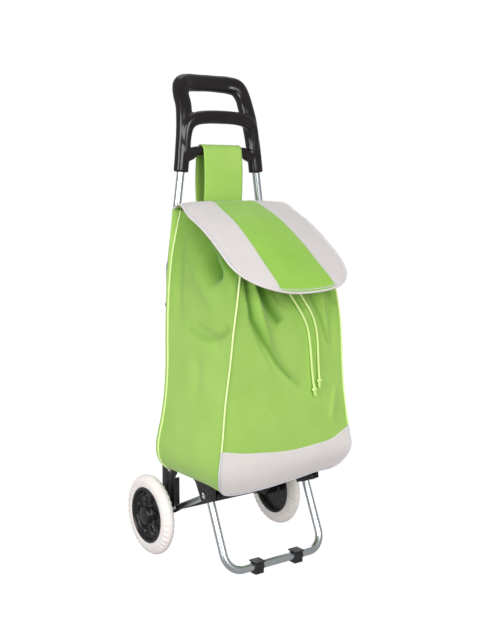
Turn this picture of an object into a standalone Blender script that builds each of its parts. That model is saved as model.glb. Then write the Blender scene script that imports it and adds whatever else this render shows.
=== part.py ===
"""Two-wheeled shopping trolley with a fabric bag, standing on its wheels and a folding stand leg.

Metres, +Z up. The bag faces -Y, the wheels are at +Y, and X runs along the axle.
Y places in the constants are distances in front of the axle, which DEPTH_SHIFT centres on the object.
"""

import math

import bmesh
import bpy
from mathutils import Matrix, Vector

# Frame
DEPTH_SHIFT = 0.111           # the axle's Y, which puts the object's middle at Y = 0
GAP = 0.0003                  # between pieces that touch
TUBE_DIAMETER = 0.015
TUBE_WALL = 0.0012
UPRIGHT_SPREAD = 0.234        # centre to centre below the bend
HANDLE_SPREAD = 0.1806        # centre to centre at the handle's sockets
UPRIGHT_FORWARD = 0.018       # uprights' centre in front of the axle
UPRIGHT_FOOT_Z = 0.088
BEND_Z = 0.565
SOCKET_Z = 0.755
SOCKET_DEPTH = 0.042
UPPER_LEAN = 0.125            # how fast the handle's sides close in above the sockets, per metre

# Wheels and axle
WHEEL_DIAMETER = 0.160
WHEEL_OUTSET = 0.040          # wheel centre outside the upright
TYRE_WIDTH = 0.025
RIM_DIAMETER = 0.1115
RIM_POCKETS = 8
AXLE_DIAMETER = 0.008
RUNNING_GAP = 0.0003
HUB_CAP_DIAMETER = 0.036

# Pressed brackets
PLATE = 0.0015
RIVET_DIAMETER = 0.006
BRACKET_HOLE = 0.012

# Stand: link tubes, front brackets and the U-shaped leg
LINK_DIAMETER = 0.012
LINK_FLAT = 0.004
LEG_PIVOT_FORWARD = 0.142
LEG_PIVOT_Z = 0.163
FOOT_FORWARD = 0.2085
FOOT_BAR_Z = 0.0135
LEG_CORNER = 0.035
FOOT_CLIP_SPREAD = 0.095

# Bag
BAG_BOTTOM_Z = 0.1748
BAG_BACK = 0.0315             # in front of the axle
BAG_DEPTH = 0.2095
BAG_WIDTH = 0.314
BAG_TOP_Z = 0.690
BAG_FRONT_TOP_Z = 0.588
FABRIC = 0.0025
BOARD_THICKNESS = 0.003
FLAP_WIDTH = 0.258
FLAP_HINGE_FORWARD = 0.0385
FLAP_HINGE_Z = 0.7005
STRAP_WIDTH = 0.090
STRAP_THICKNESS = 0.0022
CORD_DIAMETER = 0.0045

LEFT, RIGHT = -1, 1
SIDES = ((LEFT, "left"), (RIGHT, "right"))

# What follows from the sizes above
AXLE_Z = WHEEL_DIAMETER / 2
UPRIGHT_X = UPRIGHT_SPREAD / 2
PLATE_OUTSIDE = UPRIGHT_X + TUBE_DIAMETER / 2 + GAP + PLATE
WHEEL_X = UPRIGHT_X + WHEEL_OUTSET
LEG_X = UPRIGHT_X - 0.0013
LEG_SLOT = TUBE_DIAMETER + 0.0008
WEB_TOP_Z = BAG_BOTTOM_Z - GAP


def y_at(forward):
    """The Y of a place this far in front of the axle."""
    return DEPTH_SHIFT - forward


# ---------------------------------------------------------------- scene and materials

def clear_scene():
    for obj in list(bpy.data.objects):
        bpy.data.objects.remove(obj)


def make_collection(name):
    collection = bpy.data.collections.new(name)
    bpy.context.scene.collection.children.link(collection)
    return collection


clear_scene()
PARTS = make_collection("shopping_trolley")
CUTTERS = make_collection("cutters")


def material(name, colour, roughness, metallic=0.0):
    found = bpy.data.materials.get(name)
    if found:
        return found
    made = bpy.data.materials.new(name)
    made.use_nodes = True
    shader = made.node_tree.nodes["Principled BSDF"]
    shader.inputs["Base Color"].default_value = (*colour, 1)
    shader.inputs["Roughness"].default_value = roughness
    shader.inputs["Metallic"].default_value = metallic
    return made


def steel():
    return material("bright_steel", (0.75, 0.77, 0.78), 0.22, 1.0)


def black_steel():
    return material("black_steel", (0.02, 0.02, 0.022), 0.45, 0.3)


def green_fabric():
    return material("green_fabric", (0.33, 0.60, 0.09), 0.85)


def dark_plastic():
    return material("dark_plastic", (0.025, 0.017, 0.020), 0.25)


# ---------------------------------------------------------------- shared shape helpers

def add_object(name, data, finish):
    obj = bpy.data.objects.new(name, data)
    PARTS.objects.link(obj)
    if finish:
        data.materials.append(finish)
    return obj


def mesh_object(name, work, finish, smooth_angle=40):
    """Turns a bmesh into a named object with its faces pointing out."""
    bmesh.ops.recalc_face_normals(work, faces=work.faces)
    mesh = bpy.data.meshes.new(name)
    work.to_mesh(mesh)
    work.free()
    mesh.shade_smooth()
    mesh.set_sharp_from_angle(angle=math.radians(smooth_angle))
    return add_object(name, mesh, finish)


def loft(name, rings, finish, capped=True):
    """A skin over rings that have equally many points."""
    work = bmesh.new()
    rows = [[work.verts.new(place) for place in ring] for ring in rings]
    for low, high in zip(rows, rows[1:]):
        for i in range(len(low)):
            j = (i + 1) % len(low)
            work.faces.new((low[i], low[j], high[j], high[i]))
    work.faces.new(rows[0])
    if capped:
        work.faces.new(rows[-1])
    return mesh_object(name, work, finish)


def extruded(name, outline, low_x, high_x, finish):
    """A flat outline of (Y, Z) points with a thickness along X."""
    return loft(name, [[(x, y, z) for y, z in outline] for x in (low_x, high_x)], finish)


def box(name, low, high, finish):
    (x0, y0, z0), (x1, y1, z1) = low, high
    return extruded(name, [(y0, z0), (y1, z0), (y1, z1), (y0, z1)], x0, x1, finish)


def solidify(obj, thickness, offset=-1):
    modifier = obj.modifiers.new("wall", "SOLIDIFY")
    modifier.thickness = thickness
    modifier.offset = offset
    modifier.use_even_offset = True
    return obj


def turned(name, profile, finish, steps=32, along=(0, 0, 1), at=(0, 0, 0)):
    """A closed or pole-to-pole profile of (radius, height) turned about an axis through `at`."""
    work = bmesh.new()
    points = [work.verts.new((radius, 0, height)) for radius, height in profile]
    for a, b in zip(points, points[1:]):
        work.edges.new((a, b))
    if profile[0][0] > 0:
        work.edges.new((points[-1], points[0]))
    mesh = bpy.data.meshes.new(name)
    work.to_mesh(mesh)
    work.free()
    obj = add_object(name, mesh, finish)
    obj.location = at
    obj.rotation_euler = Vector((0, 0, 1)).rotation_difference(Vector(along)).to_euler()
    screw = obj.modifiers.new("turn", "SCREW")
    screw.steps = steps
    screw.render_steps = steps
    screw.use_merge_vertices = True
    screw.merge_threshold = 0.0001
    screw.use_smooth_shade = True
    return obj


def tube(name, points, diameter, finish, sides=2, capped=True):
    """A round bar or, with capped off, the open skin of a tube along the points."""
    curve = bpy.data.curves.new(name, "CURVE")
    curve.dimensions = "3D"
    curve.bevel_depth = diameter / 2
    curve.bevel_resolution = sides
    curve.use_fill_caps = capped
    spline = curve.splines.new("POLY")
    spline.points.add(len(points) - 1)
    for point, place in zip(spline.points, points):
        point.co = (*place, 1)
    return add_object(name, curve, finish)


def as_mesh(obj):
    """Replaces a curve by its mesh with the caps welded on."""
    mesh = bpy.data.meshes.new_from_object(obj.evaluated_get(bpy.context.evaluated_depsgraph_get()))
    name, finish, place = obj.name, obj.data.materials[0], obj.matrix_world.copy()
    bpy.data.objects.remove(obj)
    work = bmesh.new()
    work.from_mesh(mesh)
    bmesh.ops.remove_doubles(work, verts=work.verts, dist=1e-6)
    made = mesh_object(name, work, None)
    made.matrix_world = place
    made.data.materials.clear()
    made.data.materials.append(finish)
    return made


def hollow_tube(name, points, diameter, finish, sides=2):
    return solidify(as_mesh(tube(name, points, diameter, finish, sides, capped=False)), TUBE_WALL)


def cylinder(name, radius, start, end, finish=None, sides=20):
    """A round pin between two places."""
    start, end = Vector(start), Vector(end)
    work = bmesh.new()
    bmesh.ops.create_cone(work, cap_ends=True, segments=sides, radius1=radius, radius2=radius,
                          depth=(end - start).length)
    turn = Vector((0, 0, 1)).rotation_difference(end - start).to_matrix().to_4x4()
    bmesh.ops.transform(work, matrix=Matrix.Translation((start + end) / 2) @ turn, verts=work.verts)
    return mesh_object(name, work, finish)


def combine(obj, other, operation):
    """Cuts the other object from this one or joins it on, and keeps the other as a hidden helper."""
    for collection in list(other.users_collection):
        collection.objects.unlink(other)
    CUTTERS.objects.link(other)
    other.hide_render = True
    other.display_type = "WIRE"
    modifier = obj.modifiers.new(operation.lower(), "BOOLEAN")
    modifier.operation = operation
    modifier.object = other
    modifier.solver = "EXACT"
    return obj


def cut(obj, other):
    return combine(obj, other, "DIFFERENCE")


def join(obj, other):
    return combine(obj, other, "UNION")


def drill(obj, diameter, start, end, sides=14):
    return cut(obj, cylinder(obj.name + "_drill", diameter / 2, start, end, sides=sides))


def arc(centre, radius, start_deg, end_deg, count):
    """Points on an arc, as pairs of coordinates."""
    steps = [start_deg + (end_deg - start_deg) * i / (count - 1) for i in range(count)]
    return [(centre[0] + radius * math.cos(math.radians(a)), centre[1] + radius * math.sin(math.radians(a)))
            for a in steps]


def smooth_path(points, per_span):
    """A Catmull-Rom curve through the points."""
    points = [Vector(p) for p in points]
    ends = [points[0] * 2 - points[1]] + points + [points[-1] * 2 - points[-2]]
    made = []
    for a, b, c, d in zip(ends, ends[1:], ends[2:], ends[3:]):
        for i in range(per_span):
            t = i / per_span
            made.append(0.5 * (2 * b + (c - a) * t + (2 * a - 5 * b + 4 * c - d) * t * t
                               + (3 * b - a - 3 * c + d) * t ** 3))
    return made + [points[-1]]


def oval(centre, across, along, width, height, power=2.5, count=16):
    """A rounded section with its axes along two directions."""
    ring = []
    for i in range(count):
        angle = 2 * math.pi * (i + 0.5) / count
        c, s = math.cos(angle), math.sin(angle)
        u = math.copysign(abs(c) ** (2 / power), c) * width / 2
        v = math.copysign(abs(s) ** (2 / power), s) * height / 2
        ring.append(centre + across * u + along * v)
    return ring


def grip_bar(name, half, finish):
    """A moulded bar that is alike on both sides. Stations run from the left end to the middle, each
    (x, y, z, width in the handle's plane, depth across it, lean in degrees)."""
    stations = half + [(-x, *rest) for x, *rest in reversed(half[:-1])]
    places = [Vector(s[:3]) for s in stations]
    rings = []
    for i, (place, station) in enumerate(zip(places, stations)):
        before, after = places[max(i - 1, 0)], places[min(i + 1, len(places) - 1)]
        tangent = (after - before).normalized()
        lean = math.radians(station[5])
        depth_way = Vector((0, math.cos(lean), -math.sin(lean)))
        depth_way = (depth_way - tangent * depth_way.dot(tangent)).normalized()
        rings.append(oval(place, tangent.cross(depth_way), depth_way, station[3], station[4], count=12))
    return loft(name, rings, finish)


def rivet(name, start, end, finish, diameter=RIVET_DIAMETER, start_head=True, end_head=True):
    """A rivet whose shank runs between two faces, with a low round head past each."""
    start, end = Vector(start), Vector(end)
    long = (end - start).length
    head, rise = diameter * 0.85, diameter * 0.28
    shank = diameter / 2
    profile = [(0, long + rise), (head * 0.6, long + rise * 0.85), (head, long + GAP), (shank, long + GAP)]
    if not end_head:
        profile = [(0, long), (shank, long)]
    if start_head:
        profile += [(shank, -GAP), (head, -GAP), (head * 0.6, -rise * 0.85), (0, -rise)]
    else:
        profile += [(shank, 0), (0, 0)]
    return turned(name, profile, finish, steps=12, along=(end - start).normalized(), at=start)


# ---------------------------------------------------------------- uprights and handle

def upright_x(z):
    """The uprights' distance from the middle: straight, then closing in to the handle."""
    if z <= BEND_Z:
        return UPRIGHT_X
    share = (z - BEND_Z) / (SOCKET_Z - BEND_Z)
    return UPRIGHT_X + (HANDLE_SPREAD / 2 - UPRIGHT_X) * share


def upright(side, word):
    y = y_at(UPRIGHT_FORWARD)
    top = SOCKET_Z + SOCKET_DEPTH
    levels = [UPRIGHT_FOOT_Z, BEND_Z - 0.02, BEND_Z, BEND_Z + 0.02, SOCKET_Z, top]
    closing = [0, 0, 0.0007, 0.0002, 0, 0]
    points = [(side * (upright_x(z) - c), y, z) for z, c in zip(levels, closing)]
    obj = hollow_tube("upright_" + word, points, TUBE_DIAMETER, steel())
    for z in BRACKET_RIVET_Z:
        drill(obj, RIVET_DIAMETER + 2 * GAP, (side * (UPRIGHT_X - 0.02), y, z), (side * (UPRIGHT_X + 0.02), y, z))
    x = side * upright_x(CROSSBAR_Z)
    drill(obj, RIVET_DIAMETER + 2 * GAP, (x, y, CROSSBAR_Z), (x, y + 0.02, CROSSBAR_Z))
    x = side * upright_x(SCREW_Z)
    drill(obj, SCREW_DIAMETER + 2 * GAP, (x, y, SCREW_Z), (x, y + 0.02, SCREW_Z))
    return obj


BRACKET_RIVET_Z = (0.110, 0.148)
CROSSBAR_Z = 0.500
SCREW_Z = 0.775
SCREW_DIAMETER = 0.004
SOCKET_OUTSIDE = 0.029
SOCKET_THICKNESS = 0.024


def side_x(z):
    """The handle's sides go on above the sockets, closing in a little less."""
    return HANDLE_SPREAD / 2 - (z - SOCKET_Z) * UPPER_LEAN


def handle():
    y = y_at(UPRIGHT_FORWARD)
    finish = dark_plastic()
    hoop = [(-side_x(z), y + back, z, SOCKET_OUTSIDE + wider, SOCKET_THICKNESS - thinner, lean)
            for z, back, wider, thinner, lean in (
                (SOCKET_Z, 0.0, 0.0, 0.0, 0), (0.775, 0.0, 0.0, 0.0, 0), (0.800, 0.0008, 0.001, 0.0, 3),
                (0.830, 0.0028, 0.001, 0.001, 6), (0.860, 0.0068, 0.002, 0.002, 12),
                (0.885, 0.0138, 0.004, 0.002, 18))]
    hoop += [(-0.0700, y + 0.0220, 0.9050, 0.036, 0.022, 22), (-0.0605, y + 0.0300, 0.9205, 0.038, 0.022, 25),
             (-0.0450, y + 0.0365, 0.9285, 0.036, 0.022, 25), (-0.0230, y + 0.0395, 0.9305, 0.035, 0.022, 25),
             (0.0, y + 0.0405, 0.9310, 0.0345, 0.022, 25)]
    arch = [(-0.0810, y - 0.003, 0.795, 0.018, 0.020, 0), (-0.0805, y - 0.0045, 0.822, 0.020, 0.021, 0),
            (-0.0750, y - 0.0055, 0.8445, 0.023, 0.021, 0), (-0.0600, y - 0.006, 0.8570, 0.026, 0.021, 0),
            (-0.0350, y - 0.0065, 0.8615, 0.026, 0.021, 0), (0.0, y - 0.0065, 0.8625, 0.026, 0.021, 0)]
    crossbar = [(-0.0860, y, 0.790, 0.031, 0.021, 0), (-0.0700, y, 0.7905, 0.026, 0.021, 0),
                (-0.0580, y, 0.7955, 0.020, 0.020, 0), (-0.0450, y, CROSS_GRIP_Z, 0.018, 0.020, 0),
                (0.0, y, CROSS_GRIP_Z, 0.018, 0.020, 0)]
    obj = grip_bar("handle", hoop, finish)
    join(obj, grip_bar("handle_arch", arch, finish))
    join(obj, grip_bar("handle_crossbar", crossbar, finish))
    for side, word in SIDES:
        top = SOCKET_Z + SOCKET_DEPTH + GAP
        drill(obj, TUBE_DIAMETER + 2 * GAP, (side * upright_x(SOCKET_Z - 0.02), y, SOCKET_Z - 0.02),
              (side * upright_x(top), y, top), sides=24)
        x = side * upright_x(SCREW_Z)
        drill(obj, SCREW_DIAMETER + 2 * GAP, (x, y, SCREW_Z), (x, y + 0.03, SCREW_Z), sides=12)
    return obj


CROSS_GRIP_Z = 0.7975


def handle_screw(side, word):
    y = y_at(UPRIGHT_FORWARD)
    x = side * upright_x(SCREW_Z)
    face = y + SOCKET_THICKNESS / 2
    return rivet("handle_screw_" + word, (x, face, SCREW_Z), (x, y + 0.0025, SCREW_Z), black_steel(),
                 SCREW_DIAMETER, end_head=False)


def rear_crossbar():
    """A flat strip behind the uprights, with round ends."""
    y = y_at(UPRIGHT_FORWARD) + TUBE_DIAMETER / 2 + GAP
    half, height = upright_x(CROSSBAR_Z) - 0.003, 0.018
    outline = arc((half, CROSSBAR_Z), height / 2, -90, 90, 9)
    outline += arc((-half, CROSSBAR_Z), height / 2, 90, 270, 9)
    obj = loft("rear_crossbar", [[(x, y + d, z) for x, z in outline] for d in (0, 0.002)], black_steel())
    for side, _ in SIDES:
        x = side * upright_x(CROSSBAR_Z)
        drill(obj, RIVET_DIAMETER + 2 * GAP, (x, y - 0.01, CROSSBAR_Z), (x, y + 0.01, CROSSBAR_Z))
    return obj


def crossbar_rivet(side, word):
    y = y_at(UPRIGHT_FORWARD) + TUBE_DIAMETER / 2 + GAP
    x = side * upright_x(CROSSBAR_Z)
    return rivet("crossbar_rivet_" + word, (x, y + 0.002, CROSSBAR_Z), (x, y - 0.005, CROSSBAR_Z),
                 steel(), end_head=False)


# ---------------------------------------------------------------- rear brackets, axle and wheels

def rear_bracket(side, word):
    """A pressed plate outside the upright: it holds the axle and has an ear under the bag."""
    rear, front = y_at(-0.0046), y_at(0.0393)
    ear = y_at(0.0513)
    back_of_bag = y_at(BAG_BACK) + 0.002
    axle = (y_at(0), AXLE_Z)
    eye = 0.013
    outline = [(rear, 0.190), (rear, 0.125), (axle[0] + eye, AXLE_Z + 0.012)]
    outline += arc(axle, eye, 0, -110, 8)
    outline += [(front, 0.102), (front, 0.1605), (ear, WEB_TOP_Z - 0.0035), (ear + 0.004, WEB_TOP_Z),
                (back_of_bag, WEB_TOP_Z), (back_of_bag, 0.190)]
    inside = side * (PLATE_OUTSIDE - PLATE)
    obj = extruded("rear_bracket_" + word, outline, inside, side * PLATE_OUTSIDE, black_steel())
    flange = box("flange", (min(inside, inside - side * 0.012) + 0.0, front, 0.104),
                 (max(inside, inside - side * 0.012) + 0.0, front + PLATE, 0.158), None)
    flange.data.transform(Matrix.Translation((side * PLATE / 2, 0, 0)))
    join(obj, flange)
    x0, x1 = side * (PLATE_OUTSIDE - 0.01), side * (PLATE_OUTSIDE + 0.01)
    drill(obj, AXLE_DIAMETER + 2 * GAP, (x0, *axle), (x1, *axle))
    for z in BRACKET_RIVET_Z:
        drill(obj, RIVET_DIAMETER + 2 * GAP, (x0, y_at(UPRIGHT_FORWARD), z), (x1, y_at(UPRIGHT_FORWARD), z))
    drill(obj, BRACKET_HOLE, (x0, y_at(0.0205), 0.1705), (x1, y_at(0.0205), 0.1705))
    return obj


def bracket_rivets(side, word):
    y = y_at(UPRIGHT_FORWARD)
    inner = UPRIGHT_X - TUBE_DIAMETER / 2
    for z, place in zip(BRACKET_RIVET_Z, ("lower", "upper")):
        rivet(f"rear_rivet_{place}_{word}", (side * inner, y, z), (side * PLATE_OUTSIDE, y, z), steel())


HUB_OUT = 0.0125
WASHER_WIDTH = 0.0015
AXLE_END = WHEEL_X + HUB_OUT + 0.0035


def axle():
    return cylinder("axle", AXLE_DIAMETER / 2, (-AXLE_END, y_at(0), AXLE_Z), (AXLE_END, y_at(0), AXLE_Z),
                    steel(), sides=24)


def ring(name, inner, outer, start_x, end_x, place, finish, steps=20):
    """A flat ring along X between two places."""
    y, z = place
    long = abs(end_x - start_x)
    profile = [(outer / 2, long), (outer / 2, 0), (inner / 2, 0), (inner / 2, long)]
    return turned(name, profile, finish, steps, along=(math.copysign(1, end_x - start_x), 0, 0), at=(start_x, y, z))


def axle_fittings(side, word):
    """From the wheel inwards: a washer, and inside the bracket a spacer, the link's eye and a clip."""
    place = (y_at(0), AXLE_Z)
    bore = AXLE_DIAMETER + 2 * GAP
    washer = PLATE_OUTSIDE + GAP
    ring("axle_washer_" + word, bore, 0.016, side * washer, side * (washer + WASHER_WIDTH), place, steel())
    eye_outside = LINK_EYE_X + LINK_FLAT / 2 + GAP
    bracket_inside = PLATE_OUTSIDE - PLATE - GAP
    ring("axle_spacer_" + word, bore, 0.0125, side * eye_outside, side * bracket_inside, place, black_steel())
    clip = LINK_EYE_X - LINK_FLAT / 2 - GAP
    ring("axle_clip_" + word, bore, 0.014, side * clip, side * (clip - 0.0022), place, steel())


def wheel_rim(side, word):
    """A moulded rim: long hub, dished web with oval pockets, and a raised lip outside."""
    bore = AXLE_DIAMETER / 2 + RUNNING_GAP
    edge, half = RIM_DIAMETER / 2, TYRE_WIDTH / 2
    hub_in = PLATE_OUTSIDE + WASHER_WIDTH + 2 * GAP - WHEEL_X
    profile = [(bore, HUB_OUT), (0.0135, HUB_OUT), (0.016, 0.005), (edge - 0.010, 0.003),
               (edge - 0.0055, half - 0.001), (edge, half - 0.001), (edge, -half + 0.001),
               (edge - 0.004, -half + 0.001), (edge - 0.007, -0.001),
               (0.016, -0.001), (0.0125, hub_in), (bore, hub_in)]
    at = (side * WHEEL_X, y_at(0), AXLE_Z)
    obj = turned("wheel_rim_" + word, profile, dark_plastic(), steps=32, along=(side, 0, 0), at=at)
    middle = (0.0165 + edge - 0.0095) / 2
    for i in range(RIM_POCKETS):
        angle = 2 * math.pi * (i + 0.5) / RIM_POCKETS
        way = Vector((0, math.cos(angle), math.sin(angle)))
        across = Vector((1, 0, 0)).cross(way)
        rings = [oval(Vector(at) + Vector((x, 0, 0)) + way * middle, way, across, edge - 0.031, 0.0155, 2, 10)
                 for x in (side * 0.0006, side * 0.03)]
        cut(obj, loft("pocket", rings, None))
    return obj


def tyre(side, word):
    inside, half = RIM_DIAMETER / 2 + GAP, TYRE_WIDTH / 2
    outside = WHEEL_DIAMETER / 2
    profile = [(inside, half), (outside - 0.010, half), (outside - 0.003, half - 0.004), (outside, half - 0.009),
               (outside, -half + 0.009), (outside - 0.003, -half + 0.004), (outside - 0.010, -half), (inside, -half)]
    return turned("tyre_" + word, profile, material("foam_tyre", (0.86, 0.82, 0.79), 0.7), steps=48,
                  along=(side, 0, 0), at=(side * WHEEL_X, y_at(0), AXLE_Z))


def hub_cap(side, word):
    edge, bore = HUB_CAP_DIAMETER / 2, AXLE_DIAMETER / 2 + GAP
    inside = HUB_OUT + GAP
    top = inside + 0.0062
    profile = [(0, top), (edge * 0.45, top - 0.0004), (edge * 0.8, top - 0.002), (edge, inside + 0.001), (edge, inside),
               (bore, inside), (bore, AXLE_END - WHEEL_X + GAP), (0, AXLE_END - WHEEL_X + GAP)]
    return turned("hub_cap_" + word, profile, dark_plastic(), steps=24, along=(side, 0, 0),
                  at=(side * WHEEL_X, y_at(0), AXLE_Z))


# ---------------------------------------------------------------- stand

FRONT_BRACKET_OUTSIDE = LEG_X + LEG_SLOT / 2 + PLATE
FRONT_BRACKET_INSIDE = LEG_X - LEG_SLOT / 2 - PLATE
LINK_EYE_X = FRONT_BRACKET_INSIDE - GAP - LINK_FLAT / 2
LINK_X = LINK_EYE_X - 0.002
LINK_JOINT_FORWARD = 0.137
LINK_JOINT_Z = LEG_PIVOT_Z - 0.0163
LEG_PIVOT = Vector((0, y_at(LEG_PIVOT_FORWARD), LEG_PIVOT_Z))
FOOT_BAR = Vector((0, y_at(FOOT_FORWARD), FOOT_BAR_Z))
LEG_WAY = (FOOT_BAR - LEG_PIVOT).normalized()
STOP_DIAMETER = 0.005


def leg_stop_place():
    """A pin just in front of the leg, which the leg rests against when it is down."""
    front = Vector((0, LEG_WAY.z, -LEG_WAY.y))
    return LEG_PIVOT + LEG_WAY * 0.014 + front * (TUBE_DIAMETER / 2 + GAP + STOP_DIAMETER / 2)


def front_bracket(side, word):
    """A channel that is open below: two plates and a web that the bag's floor rests on."""
    bottom = [(y_at(0.1368), 0.132), (y_at(0.1646), 0.1414), (y_at(0.1833), 0.1504)]
    outline = [(y_at(0.1045), WEB_TOP_Z), (y_at(0.1137), 0.1694), *bottom, (y_at(0.1808), WEB_TOP_Z)]
    x_in, x_out = side * FRONT_BRACKET_INSIDE, side * FRONT_BRACKET_OUTSIDE
    obj = extruded("front_bracket_" + word, outline, x_in, x_out, black_steel())
    slot_low, slot_high = sorted((x_in + side * PLATE, x_out - side * PLATE))
    cut(obj, box("slot", (slot_low, y_at(0.22), 0.10), (slot_high, y_at(0.09), WEB_TOP_Z - PLATE), None))
    middle, past = side * LEG_X, side * (LEG_X + 0.02)
    hole = RIVET_DIAMETER + 2 * GAP
    drill(obj, hole, (side * (LEG_X - 0.02), *LEG_PIVOT.yz), (past, *LEG_PIVOT.yz))
    stop = leg_stop_place()
    drill(obj, STOP_DIAMETER + 2 * GAP, (side * (LEG_X - 0.02), *stop.yz), (past, *stop.yz), sides=14)
    drill(obj, BRACKET_HOLE, (middle, y_at(0.1407), 0.1478), (past, y_at(0.1407), 0.1478))
    joint = (y_at(LINK_JOINT_FORWARD), LINK_JOINT_Z)
    drill(obj, LINK_RIVET + 2 * GAP, (middle, *joint), (side * (LEG_X - 0.02), *joint), sides=14)
    return obj


LINK_RIVET = 0.005


def link_tube(side, word):
    """A tube with both ends pressed flat into eyes: one on the axle, one on the front bracket."""
    rear = Vector((0, y_at(0), AXLE_Z))
    front = Vector((0, y_at(LINK_JOINT_FORWARD), LINK_JOINT_Z))
    way = (front - rear).normalized()
    up = Vector((0, -way.z, way.y))
    long = (front - rear).length
    stations = [(-0.0085, 0.010, LINK_FLAT, 1), (-0.006, 0.0145, LINK_FLAT, 1), (0.004, 0.016, LINK_FLAT, 1),
                (0.014, 0.0155, LINK_FLAT, 1), (0.027, LINK_DIAMETER, LINK_DIAMETER, 0)]
    stations += [(long - s, h, t, f) for s, h, t, f in reversed(stations)]
    rings = []
    for along, height, thick, flat in stations:
        x = LINK_EYE_X if flat else LINK_X
        centre = rear + way * along + Vector((side * x, 0, 0))
        rings.append(oval(centre, up, Vector((side, 0, 0)), height, thick, 2 + 2 * flat, 12))
    obj = loft("link_tube_" + word, rings, steel())
    far = side * (LINK_EYE_X + 0.01), side * (LINK_EYE_X - 0.01)
    drill(obj, AXLE_DIAMETER + 2 * GAP, (far[0], *rear.yz), (far[1], *rear.yz))
    drill(obj, LINK_RIVET + 2 * GAP, (far[0], *front.yz), (far[1], *front.yz), sides=14)
    return obj


def stand_rivets(side, word):
    inside, outside = side * FRONT_BRACKET_INSIDE, side * FRONT_BRACKET_OUTSIDE
    stop = leg_stop_place()
    rivet("leg_pivot_" + word, (inside, *LEG_PIVOT.yz), (outside, *LEG_PIVOT.yz), steel())
    rivet("leg_stop_" + word, (inside, *stop.yz), (outside, *stop.yz), steel(), STOP_DIAMETER)
    joint = (y_at(LINK_JOINT_FORWARD), LINK_JOINT_Z)
    eye = side * (LINK_EYE_X - LINK_FLAT / 2)
    flush = side * (FRONT_BRACKET_INSIDE + PLATE - 0.0002)
    rivet("link_rivet_" + word, (eye, *joint), (flush, *joint), steel(), LINK_RIVET, end_head=False)


def stand_leg():
    """One tube bent into a U: both ends pivot in the front brackets, the middle carries the feet."""
    reach = (FOOT_BAR - LEG_PIVOT).length
    beyond = 0.006
    half = [(LEG_X, -beyond), (LEG_X, reach * 0.4)]
    half += [(x, s) for x, s in arc((LEG_X - LEG_CORNER, reach - LEG_CORNER), LEG_CORNER, 0, 90, 7)]
    points = [Vector((x, 0, 0)) + LEG_PIVOT + LEG_WAY * s for x, s in half]
    points += [Vector((-p.x, p.y, p.z)) for p in reversed(points)]
    obj = hollow_tube("stand_leg", points, TUBE_DIAMETER, steel())
    for side, _ in SIDES:
        drill(obj, RIVET_DIAMETER + 2 * GAP, (side * (LEG_X - 0.02), *LEG_PIVOT.yz),
              (side * (LEG_X + 0.02), *LEG_PIVOT.yz))
    return obj


FOOT_CLIP_LENGTH = 0.020


def foot_clip(side, word):
    """A plastic saddle round the foot bar: a flat pad below and a flat flange above."""
    x, y, z = side * FOOT_CLIP_SPREAD / 2, FOOT_BAR.y, FOOT_BAR.z
    half = FOOT_CLIP_LENGTH / 2
    collar = TUBE_DIAMETER / 2 + 0.0025
    finish = material("black_plastic", (0.02, 0.02, 0.02), 0.5)
    obj = cylinder("foot_clip_" + word, collar, (x - half, y, z), (x + half, y, z), finish, sides=24)
    join(obj, box("pad", (x - half + 0.0003, y - 0.0085, 0), (x + half - 0.0003, y + 0.0085, z - 0.002), None))
    low, high = (x - half - 0.001, y - 0.011, z + collar - 0.0015), (x + half + 0.001, y + 0.011, z + collar + 0.0012)
    join(obj, box("flange", low, high, None))
    drill(obj, TUBE_DIAMETER + 2 * GAP, (x - 0.03, y, z), (x + 0.03, y, z), sides=24)
    return obj


# ---------------------------------------------------------------- bag, flap, strap and cords

def bag_section(z, rear_half, front_half, front, rise=0.0):
    """A horizontal outline with round corners; rise tilts it up towards the back."""
    back_y, front_y = y_at(BAG_BACK), y_at(front)
    corner = 0.022
    ring = []
    for cx, cy, start in ((rear_half, back_y, 0), (-rear_half, back_y, 90), (-front_half, front_y, 180),
                          (front_half, front_y, 270)):
        inward_x = -math.copysign(corner, cx)
        inward_y = -corner if cy == back_y else corner
        ring += arc((cx + inward_x, cy + inward_y), corner, start, start + 90, 4)
    low, high = front_y, back_y
    return [(x, y, z + rise * (y - low) / (high - low)) for x, y in ring]


def bag_front_forward(z):
    """How far in front of the axle the bag's front is at a height."""
    full = BAG_BACK + BAG_DEPTH
    for (z0, f0), (z1, f1) in zip(BAG_FRONT, BAG_FRONT[1:]):
        if z <= z1:
            return full - (f0 + (f1 - f0) * (z - z0) / (z1 - z0))
    return full - BAG_FRONT[-1][1]


BAG_FRONT = ((0.1748, 0.016), (0.190, 0.008), (0.22, 0.0), (0.31, 0.003), (0.37, 0.0035), (0.46, 0.0),
             (0.52, 0.0008), (0.56, 0.0045), (0.588, 0.0045))


def bag():
    """An open-topped bag: wide at the floor, drawn in towards the mouth, which slopes to the front."""
    half = BAG_WIDTH / 2
    levels = [(BAG_BOTTOM_Z, 0.018, 0.021, 0), (0.179, 0.011, 0.017, 0), (0.190, 0.004, 0.012, 0),
              (0.205, -0.003, 0.006, 0),
              (0.23, -0.005, 0.002, 0), (0.26, 0, 0.006, 0), (0.31, 0.012, 0.013, 0), (0.37, 0.019, 0.021, 0),
              (0.46, 0.020, 0.030, 0.01), (0.52, 0.022, 0.038, 0.03), (0.56, 0.028, 0.044, 0.065),
              (BAG_FRONT_TOP_Z, 0.036, 0.050, BAG_TOP_Z - BAG_FRONT_TOP_Z)]
    rings = [bag_section(z, half - rear_in, half - front_in, bag_front_forward(z), rise)
             for z, rear_in, front_in, rise in levels]
    obj = loft("bag", rings, green_fabric(), capped=False)
    return solidify(obj, FABRIC)


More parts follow.
